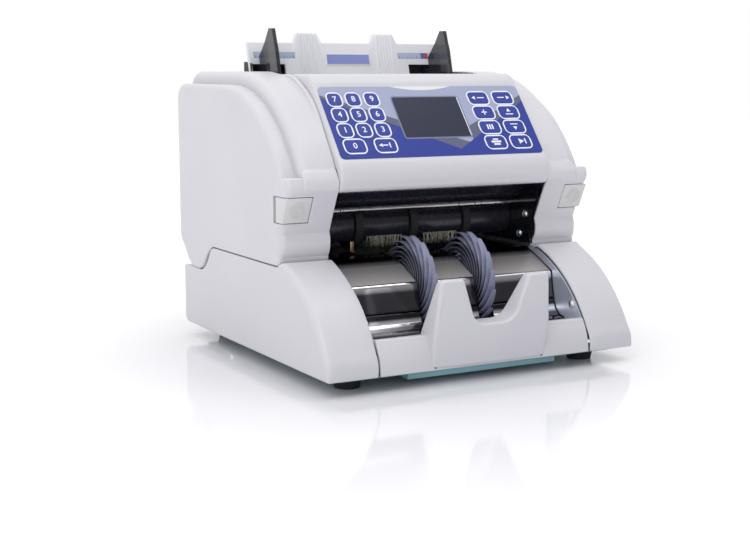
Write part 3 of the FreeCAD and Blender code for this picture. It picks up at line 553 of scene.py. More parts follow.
finishOf = {
    "base_plate": basePaint, "rubber_feet": rollerRubber, "lower_side_frames": frameSteel,
    "stacker_upper_plate": plateFinish, "stacker_lower_plate": plateFinish,
    "drive_motor": motorSteel, "drive_belt": rollerRubber, "lower_bearings": bushBronze,
    "frame_screws": screwSteel, "hinge_pins": screwSteel, "power_supply": zincSteel,
    "power_inlet": inletPlastic, "power_rocker": inletPlastic, "motor_pulley": acetal,
    "stacker_shaft": screwSteel, "keypad_overlay": filmPrint, "display_window": glass,
    "control_board": board, "hopper_floor": hopperPlastic, "throat_guide": blackMoulding,
    "guide_bar": barChrome, "upper_side_frames": blackPaint, "upper_bearings": bushBronze,
    "feed_roller_shaft": rollerRubber, "ring_wheel_shaft": rollerRubber,
    "guide_left": smoked, "guide_right": smoked, "guide_pinion": acetal,
}
for node, obj in nodes.items():
    material = finishOf.get(node, keyBlue if node.startswith("key_") else coverPlastic)
    obj.data.materials.clear()
    obj.data.materials.append(material)


print("upper side covers")
upper = {"outerX": 145.0, "stepX": 131.0, "innerX": 100.5, "wall": 3.0, "shoulderEdge": 6.5,
         "groove": 0.5, "flareWidth": 8.0, "flareRise": 7.0, "rimEdge": 0.8}


def upperProfiles():
    # the ear's outline and the shoulder's, walked clockwise with matching points
    seam = [((-57.5, 89.5), 16, 1.0)]
    pillar = [((-61.6, 91.6), (-62.5, 96.0), 4, 2.0),
              ((-66.2, 104.5), (-64.6, 115.5), 8, 6.0),
              ((-71.8, 131.0), (-79.4, 146.5), 14, 6.0)]
    ear = pillar + [((-81.8, 153.5), (-80.2, 158.2), 6, 4.0),
                    ((-79.3, 160.0), (-77.4, 160.5), 3, 3.0),
                    ((-66.9, 160.0), 5, 3.5),
                    ((-38.8, 196.3), (52.5, 231.5), 34, 5.0),
                    ((143.5, 231.5), 14, 4.0),
                    ((153.4, 227.4), (157.5, 217.5), 8, 4.0)]
    shoulder = pillar + [((-82.6, 155.0), (-79.4, 162.0), 6, 4.0),
                         ((-78.2, 163.9), (-77.0, 165.3), 3, 3.0),
                         ((-75.9, 166.7), (-75.0, 168.4), 5, 3.5),
                         ((-46.2, 204.4), (52.5, 242.5), 34, 5.0),
                         ((142.5, 242.5), 14, 4.0),
                         ((153.1, 238.1), (157.5, 227.5), 8, 4.0)]
    rear = [((157.5, 98.0), 14, 3.0),
            ((155.0, 88.5), (149.5, 83.5), 5, 3.0),
            ((141.0, 74.4), 5, 3.0),
            ((132.0, 68.1), (121.5, 66.0), 6, 2.5),
            ((107.0, 66.8), (98.7, 71.2), 7, 2.5),
            ((87.0, 83.6), (77.0, 89.5), 8, 1.2)]
    start = (77.0, 89.5)
    return trace(start, seam + ear + rear), trace(start, seam + shoulder + rear), seam[0][1]


def upperSideCover():
    (ear, edges), (shoulder, unused), seamCount = upperProfiles()
    edges = evened(edges, 3)
    earOut, shoulderOut = outwards(ear), outwards(shoulder)
    rises = [(b - a).length for a, b in zip(ear, shoulder)]

    def row(xOf, spotOf):
        return [(-xOf(i), *spotOf(i)) for i in range(len(ear))]

    rows = []
    for turn in range(7):                       # the outer edge, from the side face
        angle = quarter * turn / 6
        spots = inset(ear, earOut, [edge * (1 - math.sin(angle)) for edge in edges])
        rows.append(row(lambda i: upper["outerX"] - edges[i] * (1 - math.cos(angle)),
                        lambda i: spots[i]))
    step = upper["stepX"]
    for x, depth in ((step + 2.6, 0), (step + 1.3, 0), (step + 1.1, 1), (step + 0.4, 1), (step, 0.3)):
        rows.append(row(lambda i: x,
                        lambda i: ear[i] - earOut[i] * depth * upper["groove"] * min(1, rises[i] / 4)))
    for turn in range(7):                       # the shoulder's rounded edge
        angle = quarter * turn / 6
        radius = [min(upper["shoulderEdge"], rise * 0.8) for rise in rises]
        rows.append(row(
            lambda i: step - radius[i] * (1 - math.cos(angle)),
            lambda i: shoulder[i] - (shoulder[i] - ear[i]) *
            (radius[i] * (1 - math.sin(angle)) / max(rises[i], 1e-6))))
    flare = []
    for y, z in shoulder:                       # the cover rises towards the control panel
        along = min(max((z - 185.0) / 38.0, 0), 1) * min(max((30.0 - y) / 34.0, 0), 1)
        flare.append(upper["flareRise"] * along * along * (3 - 2 * along))
    inner = upper["innerX"]
    for x, share in ((118.0, 0), (inner + 8.0, 0), (inner + 6.4, 0.06), (inner + 4.8, 0.22),
                     (inner + 3.4, 0.45), (inner + 2.2, 0.7), (inner + 1.2, 0.9), (inner + 0.6, 0.97)):
        rows.append(row(lambda i: x, lambda i: shoulder[i] + shoulderOut[i] * flare[i] * share))
    for turn in (1, 2, 3):
        angle = quarter * turn / 3
        rim = upper["rimEdge"]
        drop = rim * (1 - math.cos(angle))
        rows.append(row(lambda i: inner + 0.6 * (1 - math.sin(angle)),
                        lambda i: shoulder[i] + shoulderOut[i] * (flare[i] * 0.97 - drop)))
    skip = {(r, i) for r in range(8, len(rows)) for i in range(seamCount)}     # open underneath
    bm, grid = skin(rows, skip=skip)
    rim = inset(ear, earOut, [edge + 0.8 for edge in edges])
    cap(bm, grid[0], [(-upper["outerX"], *spot) for spot in rim])
    return finishMesh(bm, "upperSideCover")


latch = {"x": (122.0, 148.0), "z": (124.2, 145.0), "backY": -54.2, "gap": 0.5, "edge": 1.0}


def latchRecess():
    bm = bmesh.new()
    bmesh.ops.create_cube(bm, size=1.0)
    gap = latch["gap"]
    low = Vector((-latch["x"][1], -100.0, latch["z"][0] - gap))
    high = Vector((-latch["x"][0] + gap, latch["backY"] + gap, latch["z"][1] + gap))
    for vert in bm.verts:
        for axis in range(3):
            vert.co[axis] = (high if vert.co[axis] > 0 else low)[axis] * mm
    mesh = finishMesh(bm, "latchRecess")
    return place(mesh, "latchRecess")


shell = place(upperSideCover(), "upper_cover_left")
add(shell, "SOLIDIFY", thickness=upper["wall"] * mm, offset=-1.0)
recess = latchRecess()
add(shell, "BOOLEAN", operation="DIFFERENCE", object=recess, solver="EXACT")
add(shell, "BEVEL", width=0.5 * mm, segments=2, limit_method="ANGLE", angle_limit=math.radians(50))
settle(shell, 30)
bpy.data.objects.remove(recess)
other = place(mirroredMesh(shell.data, "upper_cover_right"), "upper_cover_right")
settle(other, 30)
finish(shell, "upper_unit", coverPlastic, ["upper_side_cover_left"])
finish(other, "upper_unit", coverPlastic, ["upper_side_cover_right"])


print("latch buttons")


def pillarY(z):
    # front of the pillar at a height, between the seam and the lip
    path = trace((-64.6, 115.5), [((-71.8, 131.0), (-79.4, 146.5), 24, 0)])[0]
    for a, b in zip(path, path[1:]):
        if a.y <= z <= b.y:
            return a.x + (b.x - a.x) * (z - a.y) / (b.y - a.y)
    return path[0].x if z < path[0].y else path[-1].x


rings = {"centre": (-134.0, 134.4), "radii": (1.4, 3.1, 4.8, 6.4), "tube": 0.36, "out": 0.78}
for side, body in ((-1, "left_latch"), (1, "right_latch")):
    which = body.split("_")[0]
    button = softened(f"latch_button_{which}", f"latch_{which}", latch["edge"], 3)
    bm = bmesh.new()
    bm.from_mesh(button.data)
    cx, cz = rings["centre"]
    for radius in rings["radii"]:
        loops = []
        for turn in range(40):
            angle = math.tau * turn / 40
            loop = []
            for part in range(6):
                bend = math.tau * part / 6
                spread = radius + rings["tube"] * math.cos(bend)
                z = cz + spread * math.sin(angle)
                y = pillarY(z) - rings["out"] - rings["tube"] * 0.6 * math.sin(bend)
                x = (cx + spread * math.cos(angle)) * -side
                loop.append(bm.verts.new(Vector((x, y, z)) * mm))
            loops.append(loop)
        bridge(bm, loops + loops[:1])
    bmesh.ops.recalc_face_normals(bm, faces=bm.faces)
    bm.to_mesh(button.data)
    bm.free()
    settle(button, 32)
    finish(button, body, buttonPlastic, [f"latch_button_{which}"])


print("lower side covers")
lower = {"outerX": 145.0, "innerX": 100.5, "wall": 3.0, "rim": 2.0}


def lowerSideCover():
    path, edges = trace((148.3, 12.0 + 8.0), [
        ((146.0, 14.3), (140.3, 12.0), 5, 2.5),
        ((-146.2, 12.0), 24, 2.0),
        ((-147.4, 12.6), (-147.6, 14.0), 2, 3.0),
        ((-147.5, 21.5), (-143.0, 31.0), 6, 5.0),
        ((-109.5, 71.6), (-72.5, 92.2), 26, 6.0),
        ((-70.0, 93.2), (-67.6, 93.0), 3, 4.0),
        ((-64.0, 92.2), (-61.0, 90.3), 3, 1.6),
        ((-58.0, 88.5), 2, 1.0),
        ((75.0, 88.5), 16, 1.0),
        ((80.8, 86.6), (84.6, 82.6), 5, 1.2),
        ((97.6, 69.2), (107.0, 65.5), 8, 1.6),
        ((146.3, 65.5), 6, 2.0),
        ((147.7, 64.9), (148.3, 63.5), 2, 3.0),
        ((148.3, 20.0), 10, 3.0),
    ])
    edges = evened(edges, 3)
    out = outwards(path)
    rows = []
    for turn in range(7):
        angle = quarter * turn / 6
        spots = inset(path, out, [edge * (1 - math.sin(angle)) for edge in edges])
        rows.append([(-(lower["outerX"] - edges[i] * (1 - math.cos(angle))), *spots[i])
                     for i in range(len(path))])
    inner, rim = lower["innerX"], lower["rim"]
    for x in (130.0, 115.0, inner + rim):
        rows.append([(-x, *point) for point in path])
    for turn in (1, 2, 3, 4):
        angle = quarter * turn / 4
        spots = inset(path, out, [rim * (1 - math.cos(angle))] * len(path))
        rows.append([(-(inner + rim * (1 - math.sin(angle))), *spot) for spot in spots])
    bottom = range(5, 29)                       # the flat stretch that stays open
    skip = {(r, i) for r in range(7, len(rows)) for i in bottom}
    bm, grid = skin(rows, skip=skip)
    flat = inset(path, out, [edge + 0.8 for edge in edges])
    cap(bm, grid[0], [(-lower["outerX"], *spot) for spot in flat])
    return finishMesh(bm, "lowerSideCover")


shell = place(lowerSideCover(), "lower_cover_left")
add(shell, "SOLIDIFY", thickness=lower["wall"] * mm, offset=-1.0)
settle(shell, 30)
other = place(mirroredMesh(shell.data, "lower_cover_right"), "lower_cover_right")
settle(other, 30)
finish(shell, "lower_unit", coverPlastic, ["lower_side_cover_left"])
finish(other, "lower_unit", coverPlastic, ["lower_side_cover_right"])


print("control panel housing")
console = {"half": 100.2, "edgeWidth": 3.2, "edgeDrop": 4.5, "lipDrop": 1.2, "wall": 2.6,
           "flank": 5.5}


def consoleCover():
    foot = onPanel(0, 71.5, 0)
    path, drops = trace((4.0, 240.5), [
        ((-21.0, 240.5), 6, 4.5),
        ((-29.0, 237.4), (-34.4, 230.6), 8, 4.5),
        ((foot.y + 0.5, foot.z + 0.7), 20, 4.5),
        ((-85.6, 161.4), (-83.6, 152.6), 12, 1.4),
        ((-82.2, 149.4), (-79.0, 147.9), 5, 1.0),
        ((-76.0, 147.5), 2, 1.0),
        ((-45.0, 149.8), 5, 1.0),
    ])
    path, drops = path[::-1], drops[::-1]       # walked clockwise like the others
    drops = evened(drops, 4, closed=False)
    out = outwards(path, closed=False)
    half, width = console["half"], console["edgeWidth"]
    rows = []
    deep = [drop + console["flank"] * (drop > 1.2) for drop in drops]
    for direction in (-1, 1):
        part = [[(direction * half, *(p - n * d)) for p, n, d in zip(path, out, deep)]]
        for turn in range(7):
            angle = quarter * turn / 6
            x = direction * (half - width * (1 - math.cos(angle)))
            share = 1 - math.sin(angle)
            part.append([(x, *(p - n * d * share)) for p, n, d in zip(path, out, drops)])
        part.append([(direction * 60.0, *point) for point in path])
        rows += part if direction < 0 else part[::-1]
    bm, grid = skin(rows, closed=False)
    bmesh.ops.reverse_faces(bm, faces=bm.faces)
    return finishMesh(bm, "consoleHousing", turnOut=False)


shell = place(consoleCover(), "console_housing")
add(shell, "SOLIDIFY", thickness=console["wall"] * mm, offset=-1.0)
settle(shell, 30)
finish(shell, "upper_unit", coverPlastic, ["console_cover"])


print("front cover and note stop")
stop = {"edge": 2.8, "backEdge": 2.5, "bow": 1.6, "foot": 12.0, "head": 84.0,
        "front": ((-148.4, 12.0), (-154.4, 45.0), (-157.3, 84.0)), "backY": -128.0, "bendZ": 36.0}


def cornered(points, radii, count=6):
    # a closed outline with each corner rounded by its own radius
    result = []
    total = len(points)
    for i, corner in enumerate(points):
        corner = Vector(corner)
        toBefore = (Vector(points[i - 1]) - corner).normalized()
        toAfter = (Vector(points[(i + 1) % total]) - corner).normalized()
        half = math.acos(max(-1, min(1, toBefore.dot(toAfter)))) / 2
        reach = radii[i] / math.tan(half)
        centre = corner + (toBefore + toAfter).normalized() * (radii[i] / math.sin(half))
        start, end = corner + toBefore * reach, corner + toAfter * reach
        a, b = start - centre, end - centre
        sweep = a.angle_signed(b) if a.length > 1e-9 else 0
        for j in range(count + 1):
            turn = Matrix.Rotation(-sweep * j / count, 2)
            result.append(centre + turn @ a)
    return result


def frontOf(z):
    # the stop's front leans out as it rises
    return arcDepth(z, stop["front"])


def arcDepth(z, three):
    (y0, z0), (y1, z1), (y2, z2) = three
    return (y0 * (z - z1) * (z - z2) / ((z0 - z1) * (z0 - z2))
            + y1 * (z - z0) * (z - z2) / ((z1 - z0) * (z1 - z2))
            + y2 * (z - z0) * (z - z1) / ((z2 - z0) * (z2 - z1)))


def noteStop(bm):
    foot, head = stop["foot"], stop["head"]
    corners = [(53.0, foot), (54.6, 40.0), (50.6, head), (30.2, head), (17.5, 47.0)]
    radii = [0.6, 60.0, 4.5, 4.0, 13.0]
    outline = corners + [(-x, z) for x, z in corners[::-1]]
    ring = cornered(outline, radii + radii[::-1])
    if areaOf(ring) > 0:
        ring.reverse()
    out = outwards(ring)

    def front(x, z):
        return frontOf(z) + stop["bow"] * (x / 50.0) ** 2

    def back(x, z):
        above = max(z - stop["bendZ"], 0.0)
        return stop["backY"] - above * (20.0 / 48.0)

    rows = []
    for radius, surface, sign in ((stop["backEdge"], back, 1), (stop["edge"], front, -1)):
        part = []                               # from the face's flat middle out to the outline
        for turn in range(6):
            angle = quarter * turn / 5
            fall = sign * radius * (1 - math.sin(quarter - angle))
            spots = [p - n * radius * (1 - math.sin(angle)) for p, n in zip(ring, out)]
            part.append([(spot.x, surface(spot.x, spot.y) - fall, spot.y) for spot in spots])
        rows += part if sign > 0 else part[::-1]
    grid = [[bm.verts.new(Vector(point) * mm) for point in row] for row in rows]
    bridge(bm, grid)
    for verts, surface in ((grid[0], back), (grid[-1], front)):
        faces = [bm.faces.new(verts)]           # cut up, so that it can follow the bowed surface
        for axis, spots in ((2, range(18, 84, 4)), (0, range(-48, 49, 8))):
            for spot in spots:
                normal, at = Vector((0, 0, 0)), Vector((0, 0, 0))
                normal[axis] = 1.0
                at[axis] = spot * mm
                faces = [f for f in faces if f.is_valid]
                parts = set(faces)
                for f in faces:
                    parts.update(f.edges)
                    parts.update(f.verts)
                cut = bmesh.ops.bisect_plane(bm, geom=list(parts), plane_co=at, plane_no=normal,
                                             dist=1e-7)
                faces = [g for g in cut["geom"] if isinstance(g, bmesh.types.BMFace)]
        edgeVerts = set(verts)
        for f in faces:
            for vert in f.verts:
                if vert not in edgeVerts:
                    vert.co.y = surface(vert.co.x / mm, vert.co.z / mm) * mm


def skirt(bm):
    half, end = 98.8, 1.2
    path, unused = trace((-113.0, 34.4), [
        ((-113.0, 31.6), 1, 0),
        ((-135.0, 36.0), 6, 0),
        ((-141.4, 26.0), (-144.2, 12.4), 8, 0),
        ((-145.6, 12.0), (-147.1, 12.6), 3, 0),
        ((-144.6, 26.5), (-139.2, 37.4), 10, 0),
        ((-138.4, 38.8), (-136.6, 39.2), 4, 0),
        ((-113.0, 34.4), 8, 0),
    ])
    if areaOf(path) > 0:
        path.reverse()
    out = outwards(path)
    rows = []
    for direction in (-1, 1):
        part = []
        for turn in range(4):
            angle = quarter * turn / 3
            x = direction * (half - end * (1 - math.cos(angle)))
            part.append([(x, *(p - n * end * (1 - math.sin(angle)))) for p, n in zip(path, out)])
        part.append([(direction * 50.0, *point) for point in path])
        rows += part if direction < 0 else part[::-1]
    grid = [[bm.verts.new(Vector(point) * mm) for point in row] for row in rows]
    bridge(bm, grid)
    bm.faces.new(grid[0])
    bm.faces.new(grid[-1])


def frontParts(bm):
    noteStop(bm)
    skirt(bm)


finish(drawn(frontParts, "front_shell", 40), "lower_unit", coverPlastic, ["front_cover"])


print("rear covers and hopper plate")
for node, body, width, material, slotName in (
        ("rear_cover", "lower_unit", 0.8, coverPlastic, "cover_plastic"),
        ("upper_rear_cover", "upper_unit", 0.8, coverPlastic, "cover_plastic"),
        ("hopper_back_plate", "upper_unit", 0.4, hopperPlastic, "cover_plastic")):
    piece = softened(node, node + "_shell", width)
    finish(piece, body, material, [node])


print("hopper details")
hopper = {"footY": 84.7, "footZ": 213.0, "lean": 0.262, "stripZ": (254.2, 260.0),
          "stripX": (53.5, 95.0), "badgeX": 22.0, "badgeZ": (249.0, 257.9), "badgeRise": 0.8,
          "tick": 3.1, "blocks": ((79.0, 83.0), (83.0, 86.6)), "ink": 0.12}


def onPlate(x, z, rise):
    # a point of the hopper's leaning back plate, or a little in front of it
    normal = Vector((0, -1, hopper["lean"])).normalized()
    return Vector((x, hopper["footY"] + (z - hopper["footZ"]) * hopper["lean"], z)) + normal * rise


def platePatch(bm, x0, x1, z0, z1, low, high):
    # a thin patch on the plate, between two heights above its face
    corners = ((x0, z0), (x1, z0), (x1, z1), (x0, z1))
    slab(bm, *[[onPlate(x, z, rise) * mm for x, z in corners] for rise in (low, high)])


def box(bm, xs, ys, zs):
    made = bmesh.ops.create_cube(bm, size=1.0)["verts"]
    for vert in made:
        for axis, (low, high) in enumerate((xs, ys, zs)):
            vert.co[axis] = ((low + high) / 2 + vert.co[axis] * (high - low)) * mm


def printed(name, fill, material):
    finish(drawn(fill, name), "upper_unit", material)


def strips(bm):
    x0, x1 = hopper["stripX"]
    for side in (-1, 1):
        platePatch(bm, side * x0, side * x1, *hopper["stripZ"], -0.1, 0.06)


def ticks(bm):
    x0, x1 = hopper["stripX"]
    low = hopper["stripZ"][0] + 0.4
    for side in (-1, 1):
        for number in range(int((x1 - x0) / hopper["tick"])):
            x = side * (x0 + 2.0 + number * hopper["tick"])
            tall = 2.2 if number % 3 == 0 else 1.2
            platePatch(bm, x - 0.2, x + 0.2, low, low + tall, 0.0, hopper["ink"])


def blocksOf(which):
    def fill(bm):
        x0, x1 = hopper["blocks"][which]
        z0, z1 = hopper["stripZ"]
        for side in (-1, 1):
            platePatch(bm, side * x0, side * x1, z0 + 0.2, z1 - 0.2, 0.0, hopper["ink"] - 0.02)
    return fill


def badge(bm):
    x, z = hopper["badgeX"], hopper["badgeZ"]
    platePatch(bm, -x, x, *z, hopper["badgeRise"] - 0.1, hopper["badgeRise"] + 0.08)


tray = {"half": 99.0, "foot": 214.0, "head": 251.0, "wallY": 106.7, "backY": 107.8}


def rackCover(bm):
    # the dark tray behind the slots, open where the pinion's stud comes through
    half, foot, head = tray["half"], tray["foot"], tray["head"]
    wallY, backY = tray["wallY"], tray["backY"]
    box(bm, (-half, -5.0), (wallY, backY), (foot, head))
    box(bm, (5.0, half), (wallY, backY), (foot, head))
    box(bm, (-5.0, 5.0), (wallY, backY), (232.0, head))
    box(bm, (-half, half), (98.6, wallY), (head - 1.1, head))
    box(bm, (-half, -half + 0.8), (92.0, wallY), (foot, head - 1.1))
    box(bm, (half - 0.8, half), (92.0, wallY), (foot, head - 1.1))


printed("scale_strips", strips, scaleFilm)
printed("scale_ticks", ticks, scaleInk)
printed("scale_blue", blocksOf(0), scaleBlue)
printed("scale_red", blocksOf(1), scaleRed)
printed("badge", badge, badgeFilm)
printed("rack_cover", rackCover, inletPlastic)


print("throat details")
throat = {"screws": ((-49.7, 118.2), (-41.3, 100.3)), "wallX": 101.0,
          "sample": (99.0, -122.0, 48.3), "contactX": -62.0, "contactY": -30.0,
          "joints": (-78.0, 37.5, 54.0)}


def screwCopies(bm):
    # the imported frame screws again, on the walls of the upper unit
    sample = bmesh.new()
    sample.from_mesh(nodes["frame_screws"].data)
    at = Vector(throat["sample"]) * mm
    far = [vert for vert in sample.verts if (vert.co - at).length > 6 * mm]
    bmesh.ops.delete(sample, geom=far, context="VERTS")
    bmesh.ops.remove_doubles(sample, verts=sample.verts, dist=2e-6)
    mesh = bpy.data.meshes.new("sample")
    sample.to_mesh(mesh)
    sample.free()
    for side in (1, -1):
        for y, z in throat["screws"]:
            moved = mesh.copy()
            spot = Vector((throat["wallX"], y, z)) * mm
            moved.transform(Matrix.Translation(spot - at))
            if side < 0:
                moved = mirroredMesh(moved, "screw")
            bm.from_mesh(moved)


def contact(bm):
    x, y = throat["contactX"], throat["contactY"]
    box(bm, (x - 1.6, x + 1.6), (y, y + 0.5), (93.0, 101.0))
    box(bm, (x - 1.6, x + 1.6), (y - 2.2, y + 0.5), (92.4, 93.0))


finish(drawn(screwCopies, "wall_screws", 25), "upper_unit", screwSteel)
spring = drawn(contact, "brass_contact")
add(spring, "BEVEL", width=0.2 * mm, segments=2)
settle(spring)
finish(spring, "upper_unit", brassContact)


def barJoints(bm):
    # dark joints between the sleeves of the guide bar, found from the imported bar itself
    corners = [vert.co for vert in nodes["guide_bar"].data.vertices]
    low = [min(co[axis] for co in corners) for axis in range(3)]
    high = [max(co[axis] for co in corners) for axis in range(3)]
    radius = (high[2] - low[2]) / 2
    for x in throat["joints"]:
        spot = Vector((x * mm, (low[1] + high[1]) / 2, (low[2] + high[2]) / 2))
        turn = Matrix.Translation(spot) @ Matrix.Rotation(math.pi / 2, 4, "Y")
        bmesh.ops.create_cone(bm, cap_ends=True, segments=32, radius1=radius + 0.04 * mm,
                              radius2=radius + 0.04 * mm, depth=0.9 * mm, matrix=turn)


finish(drawn(barJoints, "bar_joints"), "upper_unit", rollerRubber)


def plateGapShade():
    # painted shade: a dark tube drawn along the gap where the stacker's plates meet the side walls
    path = ((-54.0, 91.0), (-74.0, 82.0), (-92.9, 72.9), (-97.3, 50.2), (-99.9, 42.2),
            (-105.6, 37.2), (-112.0, 35.9))
    curve = bpy.data.curves.new("gap_shade", "CURVE")
    curve.dimensions = "3D"
    curve.bevel_depth = 0.4 * mm
    curve.bevel_resolution = 1
    for side in (-1, 1):
        spline = curve.splines.new("POLY")
        spline.points.add(len(path) - 1)
        for point, (y, z) in zip(spline.points, path):
            point.co = (side * 98.7 * mm, y * mm, z * mm, 1.0)
    holder = place(curve, "gap_shade")
    depsgraph = bpy.context.evaluated_depsgraph_get()
    mesh = bpy.data.meshes.new_from_object(holder.evaluated_get(depsgraph), depsgraph=depsgraph)
    bpy.data.objects.remove(holder)
    return place(mesh, "plate_gap_shade")


finish(settle(plateGapShade()), "lower_unit", rollerRubber)


print("vane wheels")
wheel = {"centreY": -68.5, "centreZ": 66.5, "places": (-27.7, 27.7), "radius": 42.0, "hub": 13.0,
         "width": 10.0, "tipWidth": 4.2, "taper": 33.5, "vanes": 16, "tipAngle": -108.0,
         "sweep": 190.0, "ease": 0.8, "skin": 0.9, "steps": 34}


def vaneRubber():
    # the vanes are pale at their tips; painted shade darkens them towards the hub and painted
    # highlights lighten their side edges
    f = Finish("vaneRubber")
    y = f.axis("Y") - wheel["centreY"] * mm
    z = f.axis("Z") - wheel["centreZ"] * mm
    radius = (y * y + z * z).math("SQRT")
    speck = f.noise(1400.0, 3.0)
    mottle = f.noise(90.0, 3.0)
    fromCentre = (f.axis("X").math("ABSOLUTE") - wheel["places"][1] * mm).math("ABSOLUTE") / mm
    # painted shade: dark towards the hub, the vanes' own pale colour from radius 34 mm out
    paintedLightAndShade = f.blend(radius.step(0.0285, 0.034), tone(46, 48, 57), tone(142, 144, 172))
    # painted highlights along the side edges of the wide inner part of each vane
    paintedLightAndShade = f.blend(fromCentre.step(4.3, 4.8) * 0.55, paintedLightAndShade, tone(138, 141, 162))
    return f.done(Base_Color=f.blend(mottle.step(0.3, 0.8) * 0.25, paintedLightAndShade, tone(92, 94, 112)),
                  Roughness=0.5 + speck * 0.15, Normal=f.bump(speck, 0.02, 0.5))


vaneFinish = vaneRubber()


def vaneMesh():
    # one vane and its sixteenth of the hub, drawn round the shaft's line
    bm = bmesh.new()
    steps = wheel["steps"]
    low = wheel["hub"] - 2.0
    sections = []
    for i in range(steps + 1):
        part = i / steps
        radius = low + (wheel["radius"] - low) * part
        lean = math.radians(wheel["tipAngle"] + wheel["sweep"] * (1 - part ** wheel["ease"]))
        slope = math.radians(wheel["sweep"]) * wheel["ease"] / (wheel["radius"] - low)
        thick = wheel["skin"] * math.hypot(1, radius * slope)
        narrow = max((radius - wheel["taper"]) / (wheel["radius"] - wheel["taper"]), 0)
        half = (wheel["width"] + (wheel["tipWidth"] - wheel["width"]) * narrow) / 2
        spread = thick / 2 / radius
        section = []
        for x, away in ((-half, -0.55), (-half + 0.5, -1), (half - 0.5, -1), (half, -0.55),
                        (half, 0.55), (half - 0.5, 1), (-half + 0.5, 1), (-half, 0.55)):
            angle = lean + spread * away
            section.append(bm.verts.new(Vector((x, radius * math.cos(angle),
                                                radius * math.sin(angle))) * mm))
        sections.append(section)
    bridge(bm, sections)
    bm.faces.new(sections[0])
    bm.faces.new(sections[-1])
    half = wheel["width"] / 2
    turn = math.tau / wheel["vanes"]
    hub = []
    for part in range(4):
        angle = turn * part / 3
        ring = []
        for x, radius in ((-half, 4.0), (-half, wheel["hub"] - 0.6), (-half + 0.6, wheel["hub"]),
                          (half - 0.6, wheel["hub"]), (half, wheel["hub"] - 0.6), (half, 4.0)):
            ring.append(bm.verts.new(Vector((x, radius * math.cos(angle),
                                             radius * math.sin(angle))) * mm))
        hub.append(ring)
    bridge(bm, hub, closed=False)
    return finishMesh(bm, "vane")


class Grower:
    # a Geometry Nodes tree in the making, with named inputs
    def __init__(self, name, inputs):
        self.tree = bpy.data.node_groups.new(name, "GeometryNodeTree")
        face = self.tree.interface
        face.new_socket("Geometry", in_out="INPUT", socket_type="NodeSocketGeometry")
        face.new_socket("Geometry", in_out="OUTPUT", socket_type="NodeSocketGeometry")
        for key, kind in inputs.items():
            face.new_socket(key, in_out="INPUT", socket_type=kind)
        self.entry = self.tree.nodes.new("NodeGroupInput")
        self.exit = self.tree.nodes.new("NodeGroupOutput")

    def node(self, kind, settings={}, **values):
        node = self.tree.nodes.new(kind)
        for key, value in settings.items():
            setattr(node, key, value)
        for key, value in values.items():
            sockets = [s for s in node.inputs if s.name.replace(" ", "") == key and s.enabled]
            self.plug(sockets[0], value)
        return node

    def plug(self, socket, value):
        if isinstance(value, bpy.types.NodeSocket):
            self.tree.links.new(value, socket)
        else:
            socket.default_value = value

    def close(self, geometry):
        real = self.node("GeometryNodeRealizeInstances", Geometry=geometry)
        named = self.node("GeometryNodeSetMaterial", Geometry=real.outputs[0],
                          Material=self.entry.outputs["Material"])
        self.plug(self.exit.inputs[0], named.outputs[0])

    def grow(self, piece, **values):
        modifier = add(piece, "NODES", node_group=self.tree)
        for item in self.tree.interface.items_tree:
            if item.in_out == "INPUT" and item.name in values:
                modifier[item.identifier] = values[item.name]


def wheelTree():
    g = Grower("vaneWheels", {"Vanes": "NodeSocketInt", "Spacing": "NodeSocketFloat",
                              "Centre": "NodeSocketVector", "Material": "NodeSocketMaterial"})
    entry = g.entry.outputs
    spokes = g.node("GeometryNodeMeshLine", {"mode": "OFFSET"}, Count=entry["Vanes"],
                    Offset=(0.0, 0.0, 0.0))
    index = g.node("GeometryNodeInputIndex")
    share = g.node("ShaderNodeMath", {"operation": "DIVIDE"})
    g.plug(share.inputs[0], index.outputs[0])
    g.plug(share.inputs[1], entry["Vanes"])
    turn = g.node("ShaderNodeMath", {"operation": "MULTIPLY"})
    g.plug(turn.inputs[0], share.outputs[0])
    turn.inputs[1].default_value = math.tau
    spin = g.node("ShaderNodeCombineXYZ")
    g.plug(spin.inputs[0], turn.outputs[0])
    one = g.node("GeometryNodeInstanceOnPoints", Points=spokes.outputs[0],
                 Instance=entry["Geometry"], Rotation=spin.outputs[0])
    away = g.node("ShaderNodeCombineXYZ")
    g.plug(away.inputs[0], entry["Spacing"])
    gap = g.node("ShaderNodeVectorMath", {"operation": "SCALE"})
    g.plug(gap.inputs[0], away.outputs[0])
    gap.inputs["Scale"].default_value = -0.5
    first = g.node("ShaderNodeVectorMath", {"operation": "ADD"})
    g.plug(first.inputs[0], entry["Centre"])
    g.plug(first.inputs[1], gap.outputs[0])
    pair = g.node("GeometryNodeMeshLine", {"mode": "OFFSET"}, Count=2,
                  StartLocation=first.outputs[0], Offset=away.outputs[0])
    both = g.node("GeometryNodeInstanceOnPoints", Points=pair.outputs[0],
                  Instance=one.outputs[0])
    g.close(both.outputs[0])
    return g


wheels = place(vaneMesh(), "vane_wheels")
wheelTree().grow(wheels, Vanes=wheel["vanes"], Material=vaneFinish,
                 Spacing=(wheel["places"][1] - wheel["places"][0]) * mm,
                 Centre=(0.0, wheel["centreY"] * mm, wheel["centreZ"] * mm))
settle(wheels, 35)
bm = bmesh.new()
bm.from_mesh(wheels.data)
bmesh.ops.remove_doubles(bm, verts=bm.verts, dist=2e-6)
bmesh.ops.recalc_face_normals(bm, faces=bm.faces)
bm.to_mesh(wheels.data)
bm.free()
finish(wheels, "stacker", vaneFinish, ["stacker_wheels"])


print("antistatic brushes")
brush = {"spans": ((-45.0, -10.5), (10.5, 45.0)), "y": -25.2, "top": 104.0, "length": 10.4,
         "hair": 0.27, "hairs": 36, "seed": 7, "lean": 0.36}


